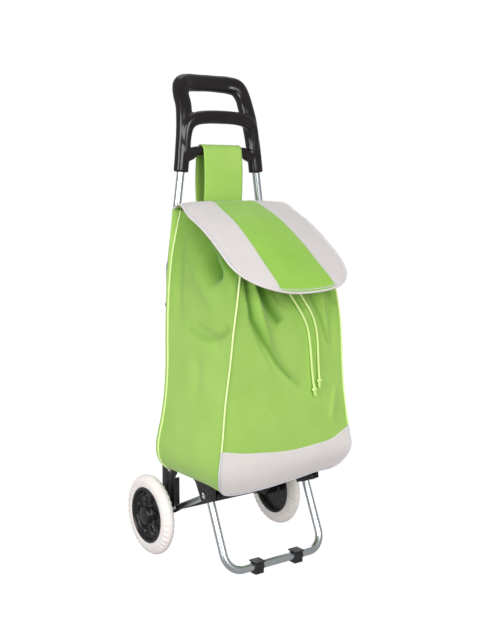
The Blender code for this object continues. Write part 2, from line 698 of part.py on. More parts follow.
def base_board():
    """A stiff board on the bag's floor."""
    z = BAG_BOTTOM_Z + FABRIC + GAP
    half = BAG_WIDTH / 2 - 0.027
    front, back = y_at(BAG_BACK + BAG_DEPTH - 0.028), y_at(BAG_BACK + 0.012)
    finish = material("board", (0.05, 0.05, 0.05), 0.8)
    return box("base_board", (-half, front, z), (half, back, z + BOARD_THICKNESS), finish)


def flap_profile():
    """The flap's middle from hinge to front lip, as (distance in front of the axle, height)."""
    points = [(FLAP_HINGE_FORWARD, FLAP_HINGE_Z, 0), (0.093, 0.6905, 0), (0.137, 0.6715, 0), (0.1755, 0.6485, 0),
              (0.2145, 0.6210, 0), (0.2518, 0.5915, 0), (0.2800, 0.5700, 0), (0.2965, 0.5535, 0), (0.3020, 0.5400, 0)]
    return smooth_path(points, 3)


def flap():
    """A fabric lid: straight at the hinge, gently crowned, and round at the front."""
    profile = flap_profile()
    lengths = [0.0]
    for a, b in zip(profile, profile[1:]):
        lengths.append(lengths[-1] + (b - a).length)
    columns, rows = 14, 12
    shortened = 0.105
    work = bmesh.new()
    grid = []
    for i in range(columns + 1):
        t = math.sin(math.pi / 2 * (2 * i / columns - 1))
        reach = lengths[-1] - shortened * (1 - math.sqrt(max(0.0, 1 - abs(t) ** 2.6)))
        line = []
        for j in range(rows + 1):
            s = reach * j / rows
            k = max(n for n in range(len(profile) - 1) if lengths[n] <= s + 1e-9)
            share = min(1.0, (s - lengths[k]) / (lengths[k + 1] - lengths[k]))
            place = profile[k].lerp(profile[k + 1], share)
            settle = min(1.0, s / 0.08)
            width = FLAP_WIDTH / 2 * (0.93 + 0.07 * settle)
            drop = 0.011 * settle * t * t
            line.append(work.verts.new((t * width, y_at(place.x), place.y - drop)))
        grid.append(line)
    for left, right in zip(grid, grid[1:]):
        for j in range(rows):
            work.faces.new((left[j], left[j + 1], right[j + 1], right[j]))
    obj = mesh_object("flap", work, green_fabric())
    if obj.data.polygons[0].normal.z < 0:
        obj.data.flip_normals()
    solidify(obj, FABRIC)
    pivot = Matrix.Translation((0, y_at(FLAP_HINGE_FORWARD), FLAP_HINGE_Z))
    obj.data.transform(pivot.inverted())
    obj.matrix_world = pivot
    return obj


def strap():
    """A band that is sewn to the bag's back with both ends and loops over the handle's crossbar."""
    bag_back = BAG_BACK - GAP - STRAP_THICKNESS / 2
    over = [(UPRIGHT_FORWARD + 0.0126 * c, CROSS_GRIP_Z + 0.0112 * s) for c, s in arc((0, 0), 1, 0, 180, 9)]
    front = [(bag_back, 0.640), (bag_back, 0.6925), (0.0320, 0.715), (0.0335, 0.755), (0.0320, 0.783)]
    rear = [(0.0035, 0.783), (0.0010, 0.755), (0.0005, 0.725), (0.0040, 0.690), (0.0150, 0.650), (0.0255, 0.620),
            (bag_back, 0.602), (bag_back, 0.580)]
    path = front + over + rear
    work = bmesh.new()
    rows = [[work.verts.new((side * STRAP_WIDTH / 2, y_at(f), z)) for side in (LEFT, RIGHT)] for f, z in path]
    for a, b in zip(rows, rows[1:]):
        work.faces.new((a[0], a[1], b[1], b[0]))
    obj = mesh_object("strap", work, green_fabric())
    return solidify(obj, STRAP_THICKNESS, offset=0)


def frame_loop(side, word):
    """A band on the bag's back that the upright runs through."""
    y, z = y_at(UPRIGHT_FORWARD), LOOP_Z
    inner = TUBE_DIAMETER / 2 + 0.0008
    outer = inner + 0.002
    half = 0.0175
    x = side * UPRIGHT_X
    obj = cylinder("frame_loop_" + word, outer, (x, y, z - half), (x, y, z + half), green_fabric(), sides=20)
    tab_front = y_at(BAG_BACK) + GAP
    join(obj, box("tab", (x - 0.016, tab_front, z - half + 0.0002), (x + 0.016, y - inner - 0.0008, z + half - 0.0002), None))
    cut(obj, cylinder("bore", inner, (x, y, z - 0.05), (x, y, z + 0.05), sides=20))
    return obj


LOOP_Z = 0.330
EYELET_Z = 0.578
EYELET_X = {"left": -0.022, "right": 0.004}
EYELET_THICKNESS = 0.0012


def eyelet(word):
    y = y_at(bag_front_forward(EYELET_Z)) - GAP
    bore, outside = CORD_DIAMETER + 0.0014, 0.013
    profile = [(outside / 2, EYELET_THICKNESS), (outside / 2, 0), (bore / 2, 0), (bore / 2, EYELET_THICKNESS)]
    return turned("eyelet_" + word, profile, steel(), steps=20, along=(0, -1, 0), at=(EYELET_X[word], y, EYELET_Z))


def cord_points(word):
    """The cord's route: out of its eyelet, down the bag's front under the flap, to its knot.
    Each entry is (x, z, distance in front of the bag's fabric)."""
    routes = {
        "left": ((-0.0220, 0.5780, 0.0005), (-0.0217, 0.5770, 0.0060), (-0.0200, 0.5715, 0.0100),
                 (-0.0150, 0.5600, 0.0080), (-0.0070, 0.5460, 0.0050), (0.0030, 0.5310, 0.0036),
                 (0.0180, 0.5100, 0.0033), (0.0320, 0.4900, 0.0031), (0.0420, 0.4690, 0.0031),
                 (0.0480, 0.4450, 0.0031), (0.0525, 0.4180, 0.0031), (0.0560, 0.3900, 0.0034),
                 (0.0590, 0.3660, 0.0044), (0.0605, 0.3545, 0.0053)),
        "right": ((0.0040, 0.5780, 0.0005), (0.0044, 0.5770, 0.0060), (0.0065, 0.5715, 0.0100),
                  (0.0125, 0.5560, 0.0080), (0.0220, 0.5380, 0.0050), (0.0330, 0.5210, 0.0036),
                  (0.0470, 0.5020, 0.0033), (0.0575, 0.4830, 0.0031), (0.0640, 0.4620, 0.0031),
                  (0.0680, 0.4380, 0.0031), (0.0705, 0.4120, 0.0032), (0.0720, 0.3900, 0.0038),
                  (0.0727, 0.3780, 0.0046), (0.0730, 0.3700, 0.0053)),
    }
    points = []
    for x, z, off in routes[word]:
        points.append((x, y_at(bag_front_forward(z)) - off, z))
    return smooth_path(points, 2)


def drawcord(word):
    return tube("drawcord_" + word, cord_points(word), CORD_DIAMETER,
                material("cord", (0.66, 0.80, 0.33), 0.8), sides=2)


def cord_knot(word):
    """An overhand knot drawn tight, as one rounded lump under the cord's end."""
    end = cord_points(word)[-1]
    way = (end - cord_points(word)[-2]).normalized()
    half, radius = 0.0065, CORD_DIAMETER * 1.05
    profile = [(radius * math.sin(math.pi * i / 8), half * math.cos(math.pi * i / 8)) for i in range(9)]
    profile = [(0, half)] + [(r, h) for r, h in profile[1:-1]] + [(0, -half)]
    flat = half * 0.8
    profile = [(0, flat)] + [(r, h) for r, h in profile if abs(h) < flat] + [(0, -flat)]
    centre = end + way * (flat + GAP)
    return turned("cord_knot_" + word, profile, material("cord", (0.66, 0.80, 0.33), 0.8), steps=14,
                  along=way, at=centre)


# ---------------------------------------------------------------- build

def build():
    for side, word in SIDES:
        upright(side, word)
        handle_screw(side, word)
        crossbar_rivet(side, word)
        rear_bracket(side, word)
        bracket_rivets(side, word)
        axle_fittings(side, word)
        wheel_rim(side, word)
        tyre(side, word)
        hub_cap(side, word)
        front_bracket(side, word)
        link_tube(side, word)
        stand_rivets(side, word)
        foot_clip(side, word)
        frame_loop(side, word)
        eyelet(word)
        drawcord(word)
        cord_knot(word)
    handle()
    rear_crossbar()
    axle()
    stand_leg()
    bag()
    base_board()
    flap()
    strap()


build()
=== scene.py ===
"""Looks of a two-wheeled shopping trolley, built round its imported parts. Metres, +Z up, the bag faces -Y."""

import math

import bmesh
import bpy
import numpy as np
from mathutils import Matrix, Vector, noise


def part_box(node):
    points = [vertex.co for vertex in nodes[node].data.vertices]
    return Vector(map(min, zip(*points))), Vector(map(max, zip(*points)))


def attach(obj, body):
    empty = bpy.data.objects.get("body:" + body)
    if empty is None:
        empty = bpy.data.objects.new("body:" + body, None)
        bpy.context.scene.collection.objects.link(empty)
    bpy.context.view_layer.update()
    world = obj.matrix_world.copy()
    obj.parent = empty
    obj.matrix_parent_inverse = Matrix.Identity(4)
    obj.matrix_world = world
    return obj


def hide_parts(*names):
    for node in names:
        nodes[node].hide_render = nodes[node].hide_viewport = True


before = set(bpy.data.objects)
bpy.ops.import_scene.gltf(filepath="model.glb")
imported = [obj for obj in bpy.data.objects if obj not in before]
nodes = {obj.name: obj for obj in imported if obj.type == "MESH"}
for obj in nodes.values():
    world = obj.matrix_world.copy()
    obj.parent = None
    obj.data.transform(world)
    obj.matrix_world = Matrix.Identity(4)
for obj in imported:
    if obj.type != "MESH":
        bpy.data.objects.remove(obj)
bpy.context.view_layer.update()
AXLE_Y = (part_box("axle")[0].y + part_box("axle")[1].y) / 2


# ---------------------------------------------------------------- camera, floor and studio light
# A low, slightly turned view from the bag's front left, in a white studio.
# Large soft lights stand above and at both sides.

camera = bpy.data.objects.new("camera", bpy.data.cameras.new("camera"))
camera.data.sensor_width = 36
camera.data.lens = 55.76
camera.location = (-1.1347, AXLE_Y - 1.6632, 0.7386)
camera.rotation_euler = (math.radians(90 - 8.04), 0, math.radians(-36.28))
bpy.context.scene.collection.objects.link(camera)
bpy.context.scene.camera = camera
bpy.context.scene.view_settings.view_transform = "Standard"


def add(tree, kind, settings=None, inputs=None):
    """A shader or geometry node with its settings, and its inputs linked or set."""
    made = tree.nodes.new(kind)
    for key, value in (settings or {}).items():
        setattr(made, key, value)
    for key, value in (inputs or {}).items():
        if isinstance(value, bpy.types.NodeSocket):
            tree.links.new(value, made.inputs[key])
        else:
            made.inputs[key].default_value = value
    return made


world = bpy.data.worlds.new("studio")
bpy.context.scene.world = world
world.use_nodes = True
sky = world.node_tree
sky.nodes.clear()
seen = add(sky, "ShaderNodeLightPath").outputs["Is Camera Ray"]
white = add(sky, "ShaderNodeBackground", None, {"Color": (1, 1, 1, 1), "Strength": 1.0}).outputs[0]
soft = add(sky, "ShaderNodeBackground", None, {"Color": (0.96, 0.97, 1, 1), "Strength": 0.40}).outputs[0]
both = add(sky, "ShaderNodeMixShader", None, {0: seen, 1: soft, 2: white})
add(sky, "ShaderNodeOutputWorld", None, {"Surface": both.outputs[0]})


def softbox(name, place, target, size, power):
    light = bpy.data.lights.new(name, "AREA")
    light.shape = "RECTANGLE"
    light.size, light.size_y = size
    light.energy = power
    made = bpy.data.objects.new(name, light)
    made.location = place
    made.rotation_euler = (Vector(target) - Vector(place)).to_track_quat("-Z", "Y").to_euler()
    bpy.context.scene.collection.objects.link(made)


softbox("left_light", (-2.1, -0.7, 1.15), (0, 0, 0.45), (1.3, 1.5), 34)
softbox("front_light", (-0.3, -2.4, 1.25), (0, 0, 0.42), (1.3, 1.2), 34)
softbox("top_light", (0.3, 0.5, 2.4), (0, 0, 0.60), (1.2, 1.2), 5)
softbox("back_light", (1.4, 1.8, 1.2), (0, 0, 0.50), (1.0, 1.4), 8)

floor_mesh = bpy.data.meshes.new("floor")
floor_mesh.from_pydata([(-9, -9, -0.0004), (9, -9, -0.0004), (9, 9, -0.0004), (-9, 9, -0.0004)], [],
                       [(0, 1, 2, 3)])
floor = bpy.data.objects.new("floor", floor_mesh)
bpy.context.scene.collection.objects.link(floor)
floor_paint = bpy.data.materials.new("floor_paint")
floor_paint.use_nodes = True
tree = floor_paint.node_tree
tree.nodes.clear()
glow = add(tree, "ShaderNodeEmission", None, {"Color": (1, 1, 1, 1), "Strength": 1.06}).outputs[0]
bounce = add(tree, "ShaderNodeEmission", None, {"Color": (1, 1, 1, 1), "Strength": 0.42}).outputs[0]
matt = add(tree, "ShaderNodeBsdfDiffuse", None, {"Color": (0.8, 0.8, 0.8, 1)}).outputs[0]
direct = add(tree, "ShaderNodeMixShader", None, {0: 0.05, 1: glow, 2: matt}).outputs[0]
seen = add(tree, "ShaderNodeLightPath").outputs["Is Camera Ray"]
mixed = add(tree, "ShaderNodeMixShader", None, {0: seen, 1: bounce, 2: direct})
add(tree, "ShaderNodeOutputMaterial", None, {"Surface": mixed.outputs[0]})
floor_mesh.materials.append(floor_paint)


# ---------------------------------------------------------------- drawcords
# Two limp braided cords of 4.5 mm that close the bag's mouth. Each leaves an eyelet in the bag's casing,
# hangs down the front under the lid, and ends in an overhand knot with a frayed tail.

def smooth_path(points, per_span):
    """A Catmull-Rom curve through the points."""
    points = [Vector(p) for p in points]
    ends = [points[0] * 2 - points[1]] + points + [points[-1] * 2 - points[-2]]
    made = []
    for a, b, c, d in zip(ends, ends[1:], ends[2:], ends[3:]):
        for i in range(per_span):
            t = i / per_span
            made.append(0.5 * (2 * b + (c - a) * t + (2 * a - 5 * b + 4 * c - d) * t * t
                               + (3 * b - a - 3 * c + d) * t ** 3))
    return made + [points[-1]]


def even_path(points, step, closed=False):
    """The same line with evenly spaced points."""
    points = [Vector(p) for p in points]
    if closed:
        points = points + [points[0]]
    lengths = [0.0]
    for a, b in zip(points, points[1:]):
        lengths.append(lengths[-1] + (b - a).length)
    count = max(2, round(lengths[-1] / step))
    made, k = [], 0
    for i in range(count + (0 if closed else 1)):
        want = lengths[-1] * i / count
        while k < len(points) - 2 and lengths[k + 1] < want:
            k += 1
        share = (want - lengths[k]) / max(lengths[k + 1] - lengths[k], 1e-9)
        made.append(points[k].lerp(points[k + 1], min(1.0, share)))
    return made


def frames_along(path, closed=False):
    """A pair of side directions at each point, which turn as little as they can."""
    count = len(path)
    tangents = []
    for i in range(count):
        before = path[(i - 1) % count] if closed or i else path[0]
        after = path[(i + 1) % count] if closed or i < count - 1 else path[-1]
        tangents.append((after - before).normalized())
    side = tangents[0].orthogonal().normalized()
    made = []
    for i, tangent in enumerate(tangents):
        if i:
            side = tangents[i - 1].rotation_difference(tangent) @ side
        side = (side - tangent * side.dot(tangent)).normalized()
        made.append((side, tangent.cross(side)))
    return made


def grid_piece(name, rows, finish, around=False, capped=False, smooth=35, wrap=False, fold_shades=None):
    """A piece from rows of points, with a map in metres that its weave follows.
    around joins each row's ends, wrap joins the last row to the first, and capped closes both ends.
    fold_shades gives each point's share of painted shade in the creases, kept in the fold_shade attribute."""
    width = len(rows[0])
    low = [0.0]
    middle = rows[len(rows) // 2]
    for a, b in zip(middle, middle[1:] + (middle[:1] if around else [])):
        low.append(low[-1] + (b - a).length)
    high = [0.0]
    for a, b in zip(rows, rows[1:] + (rows[:1] if wrap else [])):
        high.append(high[-1] + (b[width // 3] - a[width // 3]).length)
    work = bmesh.new()
    chart = work.loops.layers.uv.new("cloth")
    painted_crease_shade = work.verts.layers.float.new("fold_shade")
    made = [[work.verts.new(p) for p in row] for row in rows]
    # Painted shade: each point's share of crease shade is stored on the mesh, and the cloth is darkened by it.
    if fold_shades:
        for verts, shares in zip(made, fold_shades):
            for vert, share in zip(verts, shares):
                vert[painted_crease_shade] = share
    for i in range(len(rows) - (0 if wrap else 1)):
        for j in range(width - (0 if around else 1)):
            i2, j2 = (i + 1) % len(rows), (j + 1) % width
            face = work.faces.new((made[i][j], made[i][j2], made[i2][j2], made[i2][j]))
            for loop, spot in zip(face.loops, ((j, i), (j + 1, i), (j + 1, i + 1), (j, i + 1))):
                loop[chart].uv = (low[spot[0]], high[spot[1]])
    if capped:
        work.faces.new(reversed(made[0]))
        work.faces.new(made[-1])
    if around or capped:
        bmesh.ops.recalc_face_normals(work, faces=work.faces)
    mesh = bpy.data.meshes.new(name)
    work.to_mesh(mesh)
    work.free()
    mesh.shade_smooth()
    mesh.set_sharp_from_angle(angle=math.radians(smooth))
    made = bpy.data.objects.new(name, mesh)
    bpy.context.scene.collection.objects.link(made)
    mesh.materials.append(finish)
    return made


def sweep(name, path, radius, finish, sides=16, closed=False, relief=None, flat=(1, 1), capped=True):
    """A round section carried along a path. relief(turn, length) adds to the radius."""
    rows, run = [], 0.0
    for i, (centre, (a, b)) in enumerate(zip(path, frames_along(path, closed))):
        if i:
            run += (centre - path[i - 1]).length
        size = radius(run) if callable(radius) else radius
        row = []
        for k in range(sides):
            turn = 2 * math.pi * k / sides
            r = size + (relief(turn, run) if relief else 0)
            row.append(centre + a * (r * math.cos(turn) * flat[0]) + b * (r * math.sin(turn) * flat[1]))
        rows.append(row)
    return grid_piece(name, rows, finish, around=True, capped=capped and not closed, wrap=closed)


def joined(name, pieces):
    """Several finished pieces as one, with their finishes kept."""
    mesh = bpy.data.meshes.new(name)
    work = bmesh.new()
    finishes = []
    for one in pieces:
        part = one.data
        slots = []
        for finish in part.materials:
            if finish not in finishes:
                finishes.append(finish)
            slots.append(finishes.index(finish))
        start = len(work.faces)
        work.from_mesh(part)
        work.faces.ensure_lookup_table()
        for face in work.faces[start:]:
            face.material_index = slots[min(face.material_index, len(slots) - 1)]
        bpy.data.objects.remove(one)
    work.to_mesh(mesh)
    work.free()
    for finish in finishes:
        mesh.materials.append(finish)
    made = bpy.data.objects.new(name, mesh)
    bpy.context.scene.collection.objects.link(made)
    return made


def applied(obj):
    """The piece with its modifiers made permanent."""
    graph = bpy.context.evaluated_depsgraph_get()
    graph.update()
    mesh = bpy.data.meshes.new_from_object(obj.evaluated_get(graph))
    obj.modifiers.clear()
    obj.data = mesh
    return obj


def shader_group(name, wants, gives):
    group = bpy.data.node_groups.new(name, "ShaderNodeTree")
    for word, kind in wants:
        group.interface.new_socket(word, in_out="INPUT", socket_type="NodeSocket" + kind)
    for word, kind in gives:
        group.interface.new_socket(word, in_out="OUTPUT", socket_type="NodeSocket" + kind)
    return group, group.nodes.new("NodeGroupInput").outputs, group.nodes.new("NodeGroupOutput").inputs


def maths(tree, operation, *values):
    return add(tree, "ShaderNodeMath", {"operation": operation}, dict(enumerate(values))).outputs[0]


# Plain weave: two crossing sets of threads, with the uneven shade of dyed yarn and painted shade between the
# threads.
weave, wants, gives = shader_group("plain_weave", [("Vector", "Vector"), ("Thread", "Float")],
                                   [("Height", "Float"), ("Shade", "Float")])
parts = add(weave, "ShaderNodeSeparateXYZ", None, {0: wants["Vector"]}).outputs
across = maths(weave, "MULTIPLY", maths(weave, "DIVIDE", parts[0], wants["Thread"]), math.pi)
along = maths(weave, "MULTIPLY", maths(weave, "DIVIDE", parts[1], wants["Thread"]), math.pi)
warp = maths(weave, "ABSOLUTE", maths(weave, "SINE", across))
weft = maths(weave, "ABSOLUTE", maths(weave, "SINE", along))
over = maths(weave, "MULTIPLY", maths(weave, "COSINE", across), maths(weave, "COSINE", along))
swap = add(weave, "ShaderNodeMapRange", None, {0: over, 1: -0.5, 2: 0.5}).outputs[0]
height = add(weave, "ShaderNodeMix", None, {0: swap, 2: warp, 3: weft}).outputs[0]
weave.links.new(height, gives["Height"])
cloud = add(weave, "ShaderNodeTexNoise", None,
            {"Vector": wants["Vector"], "Scale": 16.0, "Detail": 4.0}).outputs[0]
yarn_map = add(weave, "ShaderNodeVectorMath", {"operation": "MULTIPLY"},
               {0: wants["Vector"], 1: (900.0, 60.0, 1.0)})
yarn = add(weave, "ShaderNodeTexNoise", None,
           {"Vector": yarn_map.outputs[0], "Scale": 1.0, "Detail": 1.0}).outputs[0]
shade = maths(weave, "ADD", maths(weave, "MULTIPLY", cloud, 0.55), maths(weave, "MULTIPLY", yarn, 0.25))
# Painted shade: the threads' tops are coloured lighter and the gaps between them darker.
shade = maths(weave, "ADD", shade, maths(weave, "MULTIPLY", height, 0.2))
weave.links.new(shade, gives["Shade"])


def srgb(red, green, blue):
    """A colour given as 0 to 255 is turned into light values."""
    made = [(c / 255 / 12.92) if c / 255 < 0.04045 else ((c / 255 + 0.055) / 1.055) ** 2.4
            for c in (red, green, blue)]
    return (*made, 1)


def finish_of(name, **values):
    made = bpy.data.materials.new(name)
    made.use_nodes = True
    shader = made.node_tree.nodes["Principled BSDF"]
    for key, value in values.items():
        shader.inputs[key.replace("_", " ")].default_value = value
    return made, made.node_tree, shader


def cloth(name, dark, light, thread=0.0007, relief=0.00012, sheen=0.25, roughness=0.85, painted_crease_shade=None):
    """Woven polyester in two close shades, with painted shade mixed in where the fold_shade attribute marks a
    crease.
    """
    made, tree, shader = finish_of(name, Roughness=roughness, Sheen_Weight=sheen, Sheen_Roughness=0.5,
                                   Specular_IOR_Level=0.25)
    chart = add(tree, "ShaderNodeUVMap", {"uv_map": "cloth"}).outputs[0]
    group = add(tree, "ShaderNodeGroup", {"node_tree": weave}, {"Vector": chart, "Thread": thread})
    mix = add(tree, "ShaderNodeMix", {"data_type": "RGBA"}, {0: group.outputs["Shade"], 6: dark, 7: light})
    if painted_crease_shade:
        # Painted shade: the cloth is darkened towards the crease colour where the folds are shaded.
        fold_shade = add(tree, "ShaderNodeAttribute", {"attribute_name": "fold_shade"}).outputs["Fac"]
        mix = add(tree, "ShaderNodeMix", {"data_type": "RGBA"}, {0: fold_shade, 6: mix.outputs[2], 7: painted_crease_shade})
    tree.links.new(mix.outputs[2], shader.inputs["Base Color"])
    bump = add(tree, "ShaderNodeBump", None,
               {"Height": group.outputs["Height"], "Distance": relief, "Strength": 0.5})
    tree.links.new(bump.outputs[0], shader.inputs["Normal"])
    return made


cord_cloth = cloth("cord_cloth", srgb(196, 226, 104), srgb(238, 255, 186), thread=0.0009, relief=0.0002)
CORD = 0.0045
BAG_FRONT = ((0.1748, 0.016), (0.190, 0.008), (0.22, 0.0), (0.31, 0.003), (0.37, 0.0035), (0.46, 0.0),
             (0.52, 0.0008), (0.56, 0.0045), (0.588, 0.0045))


def bag_front_y(z):
    """Where the middle of the bag's front is at a height."""
    for (z0, f0), (z1, f1) in zip(BAG_FRONT, BAG_FRONT[1:]):
        if z <= z1:
            return AXLE_Y - 0.241 + f0 + (f1 - f0) * max(0.0, (z - z0) / (z1 - z0))
    return AXLE_Y - 0.241 + BAG_FRONT[-1][1]


cord_routes = {
    "left": ((-0.0220, 0.5780, 0.0005), (-0.0217, 0.5770, 0.0060), (-0.0200, 0.5715, 0.0100),
             (-0.0150, 0.5600, 0.0080), (-0.0070, 0.5460, 0.0050), (0.0030, 0.5310, 0.0036),
             (0.0180, 0.5100, 0.0033), (0.0320, 0.4900, 0.0031), (0.0420, 0.4690, 0.0031),
             (0.0480, 0.4450, 0.0031), (0.0525, 0.4180, 0.0031), (0.0560, 0.3900, 0.0034),
             (0.0590, 0.3660, 0.0044), (0.0605, 0.3545, 0.0053)),
    "right": ((0.0040, 0.5780, 0.0005), (0.0044, 0.5770, 0.0060), (0.0065, 0.5715, 0.0100),
              (0.0125, 0.5560, 0.0080), (0.0220, 0.5380, 0.0050), (0.0330, 0.5210, 0.0036),
              (0.0470, 0.5020, 0.0033), (0.0575, 0.4830, 0.0031), (0.0640, 0.4620, 0.0031),
              (0.0680, 0.4380, 0.0031), (0.0705, 0.4120, 0.0032), (0.0720, 0.3900, 0.0038),
              (0.0727, 0.3780, 0.0046), (0.0730, 0.3700, 0.0053)),
}


def braid(turn, run):
    """Strands of a round braid, crossing both ways."""
    one = math.sin(4 * turn + run * 1500)
    two = math.sin(4 * turn - run * 1500)
    return 0.00022 * max(one, two) - 0.00022


for word, route in cord_routes.items():
    points = [(x, bag_front_y(z) - off, z) for x, z, off in route]
    path = even_path(smooth_path(points, 6), 0.0009)
    drawcord = sweep("drawcord_" + word + "_braid", path, CORD / 2, cord_cloth, sides=20, relief=braid)
    end, way = path[-1], (path[-1] - path[-4]).normalized()
    side = way.cross(Vector((0, -1, 0))).normalized()
    front = side.cross(way)
    loops = []
    for i in range(72):
        t = 2 * math.pi * i / 72
        loops.append(end + way * (0.0052 + 0.00135 * (math.cos(t) - 2 * math.cos(2 * t)))
                     + side * (0.00125 * (math.sin(t) + 2 * math.sin(2 * t)))
                     + front * (-0.0011 * math.sin(3 * t) + 0.0004))
    knot = sweep("cord_knot_" + word + "_tied", even_path(loops, 0.0006, closed=True), 0.00185, cord_cloth,
                 sides=14, closed=True, relief=lambda turn, run: 0.8 * braid(turn, run))
    tuft = []
    for i in range(26):
        angle = 2.4 * i
        spread = 0.0005 + 0.0016 * (i / 26) ** 0.5
        out = side * math.cos(angle) + front * math.sin(angle)
        long = 0.011 + 0.004 * noise.noise(Vector((i * 3.1, len(word), 0)))
        strand = [end + way * (0.0075 + long * s) + out * (spread * (0.4 + 1.1 * s))
                  + side * (0.0008 * math.sin(4 * s + i)) for s in (0, 0.25, 0.5, 0.75, 1)]
        tuft.append(sweep("strand", smooth_path(strand, 2), 0.00042, cord_cloth, sides=5))
    tuft = joined("cord_tail_" + word, tuft)
    for one in (drawcord, knot, tuft):
        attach(one, "frame")
    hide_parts("drawcord_" + word)
    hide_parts("cord_knot_" + word)


# ---------------------------------------------------------------- bag
# A sewn polyester bag, drawn in at its mouth by the cords, so that folds run down from the casing.
# Front, sides and back are separate panels that meet in piped seams, with a pale band low on the front.

def curve_of(rows):
    """A smooth reading between the rows of a small table."""
    keys = np.array([r[0] for r in rows])
    columns = np.array([r[1:] for r in rows])
    slopes = np.gradient(columns, keys, axis=0)

    def read(z):
        z = min(max(z, keys[0]), keys[-1])
        k = min(int(np.searchsorted(keys, z, side="right")) - 1, len(keys) - 2)
        h = keys[k + 1] - keys[k]
        t = (z - keys[k]) / h
        return ((2 * t ** 3 - 3 * t ** 2 + 1) * columns[k] + (t ** 3 - 2 * t ** 2 + t) * h * slopes[k]
                + (3 * t ** 2 - 2 * t ** 3) * columns[k + 1] + (t ** 3 - t ** 2) * h * slopes[k + 1])
    return read


# Height, then the front seam's half width and distance in front of the axle.
front_seam = curve_of([(0.1765, 0.1290, 0.2220), (0.181, 0.1385, 0.2248), (0.190, 0.1471, 0.2294),
                       (0.205, 0.1535, 0.2362), (0.220, 0.1563, 0.2400), (0.250, 0.1523, 0.2405),
                       (0.280, 0.1475, 0.2388), (0.310, 0.1436, 0.2372), (0.340, 0.1397, 0.2360),
                       (0.370, 0.1359, 0.2368), (0.400, 0.1324, 0.2385), (0.430, 0.1293, 0.2399),
                       (0.460, 0.1263, 0.2408), (0.490, 0.1223, 0.2410), (0.520, 0.1167, 0.2402),
                       (0.550, 0.1109, 0.2375), (0.588, 0.1040, 0.2360), (0.640, 0.0990, 0.2350),
                       (0.690, 0.0960, 0.2350)])
# Height, then the back corner's half width, the back seam's half width, and the back's place.
back_edge = curve_of([(0.1765, 0.1300, 0.1290, 0.0400), (0.181, 0.1400, 0.1390, 0.0360),
                      (0.190, 0.1500, 0.1490, 0.0330), (0.205, 0.1588, 0.1578, 0.0320),
                      (0.230, 0.1620, 0.1610, 0.0315), (0.255, 0.1575, 0.1565, 0.0315),
                      (0.285, 0.1500, 0.1490, 0.0315), (0.330, 0.1425, 0.1415, 0.0315),
                      (0.380, 0.1385, 0.1375, 0.0315), (0.455, 0.1372, 0.1362, 0.0315),
                      (0.512, 0.1352, 0.1340, 0.0315), (0.560, 0.1325, 0.1300, 0.0315),
                      (0.600, 0.1285, 0.1245, 0.0315), (0.650, 0.1225, 0.1130, 0.0315),
                      (0.690, 0.1180, 0.1020, 0.0315)])
BACK_SEAM = 0.0405
RIM_FRONT, RIM_BACK = 0.588, 0.690


def beside(p, q, line):
    """How far a place is from a line, how far along it that is, and on which side."""
    best, place, turn, run, total = 1e9, 0.0, 1.0, 0.0, sum(math.dist(a, b) for a, b in zip(line, line[1:]))
    for (x0, y0), (x1, y1) in zip(line, line[1:]):
        sx, sy = x1 - x0, y1 - y0
        long = math.hypot(sx, sy)
        t = min(max(((p - x0) * sx + (q - y0) * sy) / long ** 2, 0.0), 1.0)
        dx, dy = p - x0 - sx * t, q - y0 - sy * t
        gap = math.hypot(dx, dy)
        if gap < best:
            best, place, turn = gap, (run + long * t) / total, sx * dy - sy * dx
        run += long
    return best, place, turn


def valley(p, q, line, depth, near, far, start=0.15, end=0.25):
    """A fold that follows a line on a panel. It is steep on its near side and gentle on its far side."""
    gap, place, turn = beside(p, q, line)
    width = near if turn < 0 else far
    if gap > 3 * width:
        return 0.0
    fade = min(1.0, place / start if start else 1.0) * min(1.0, (1 - place) / end if end else 1.0)
    fade = fade * fade * (3 - 2 * fade)
    return -depth * fade * math.exp(-(gap / width) ** 2)


def soft_step(low, high, value):
    t = min(max((value - low) / (high - low), 0.0), 1.0)
    return t * t * (3 - 2 * t)


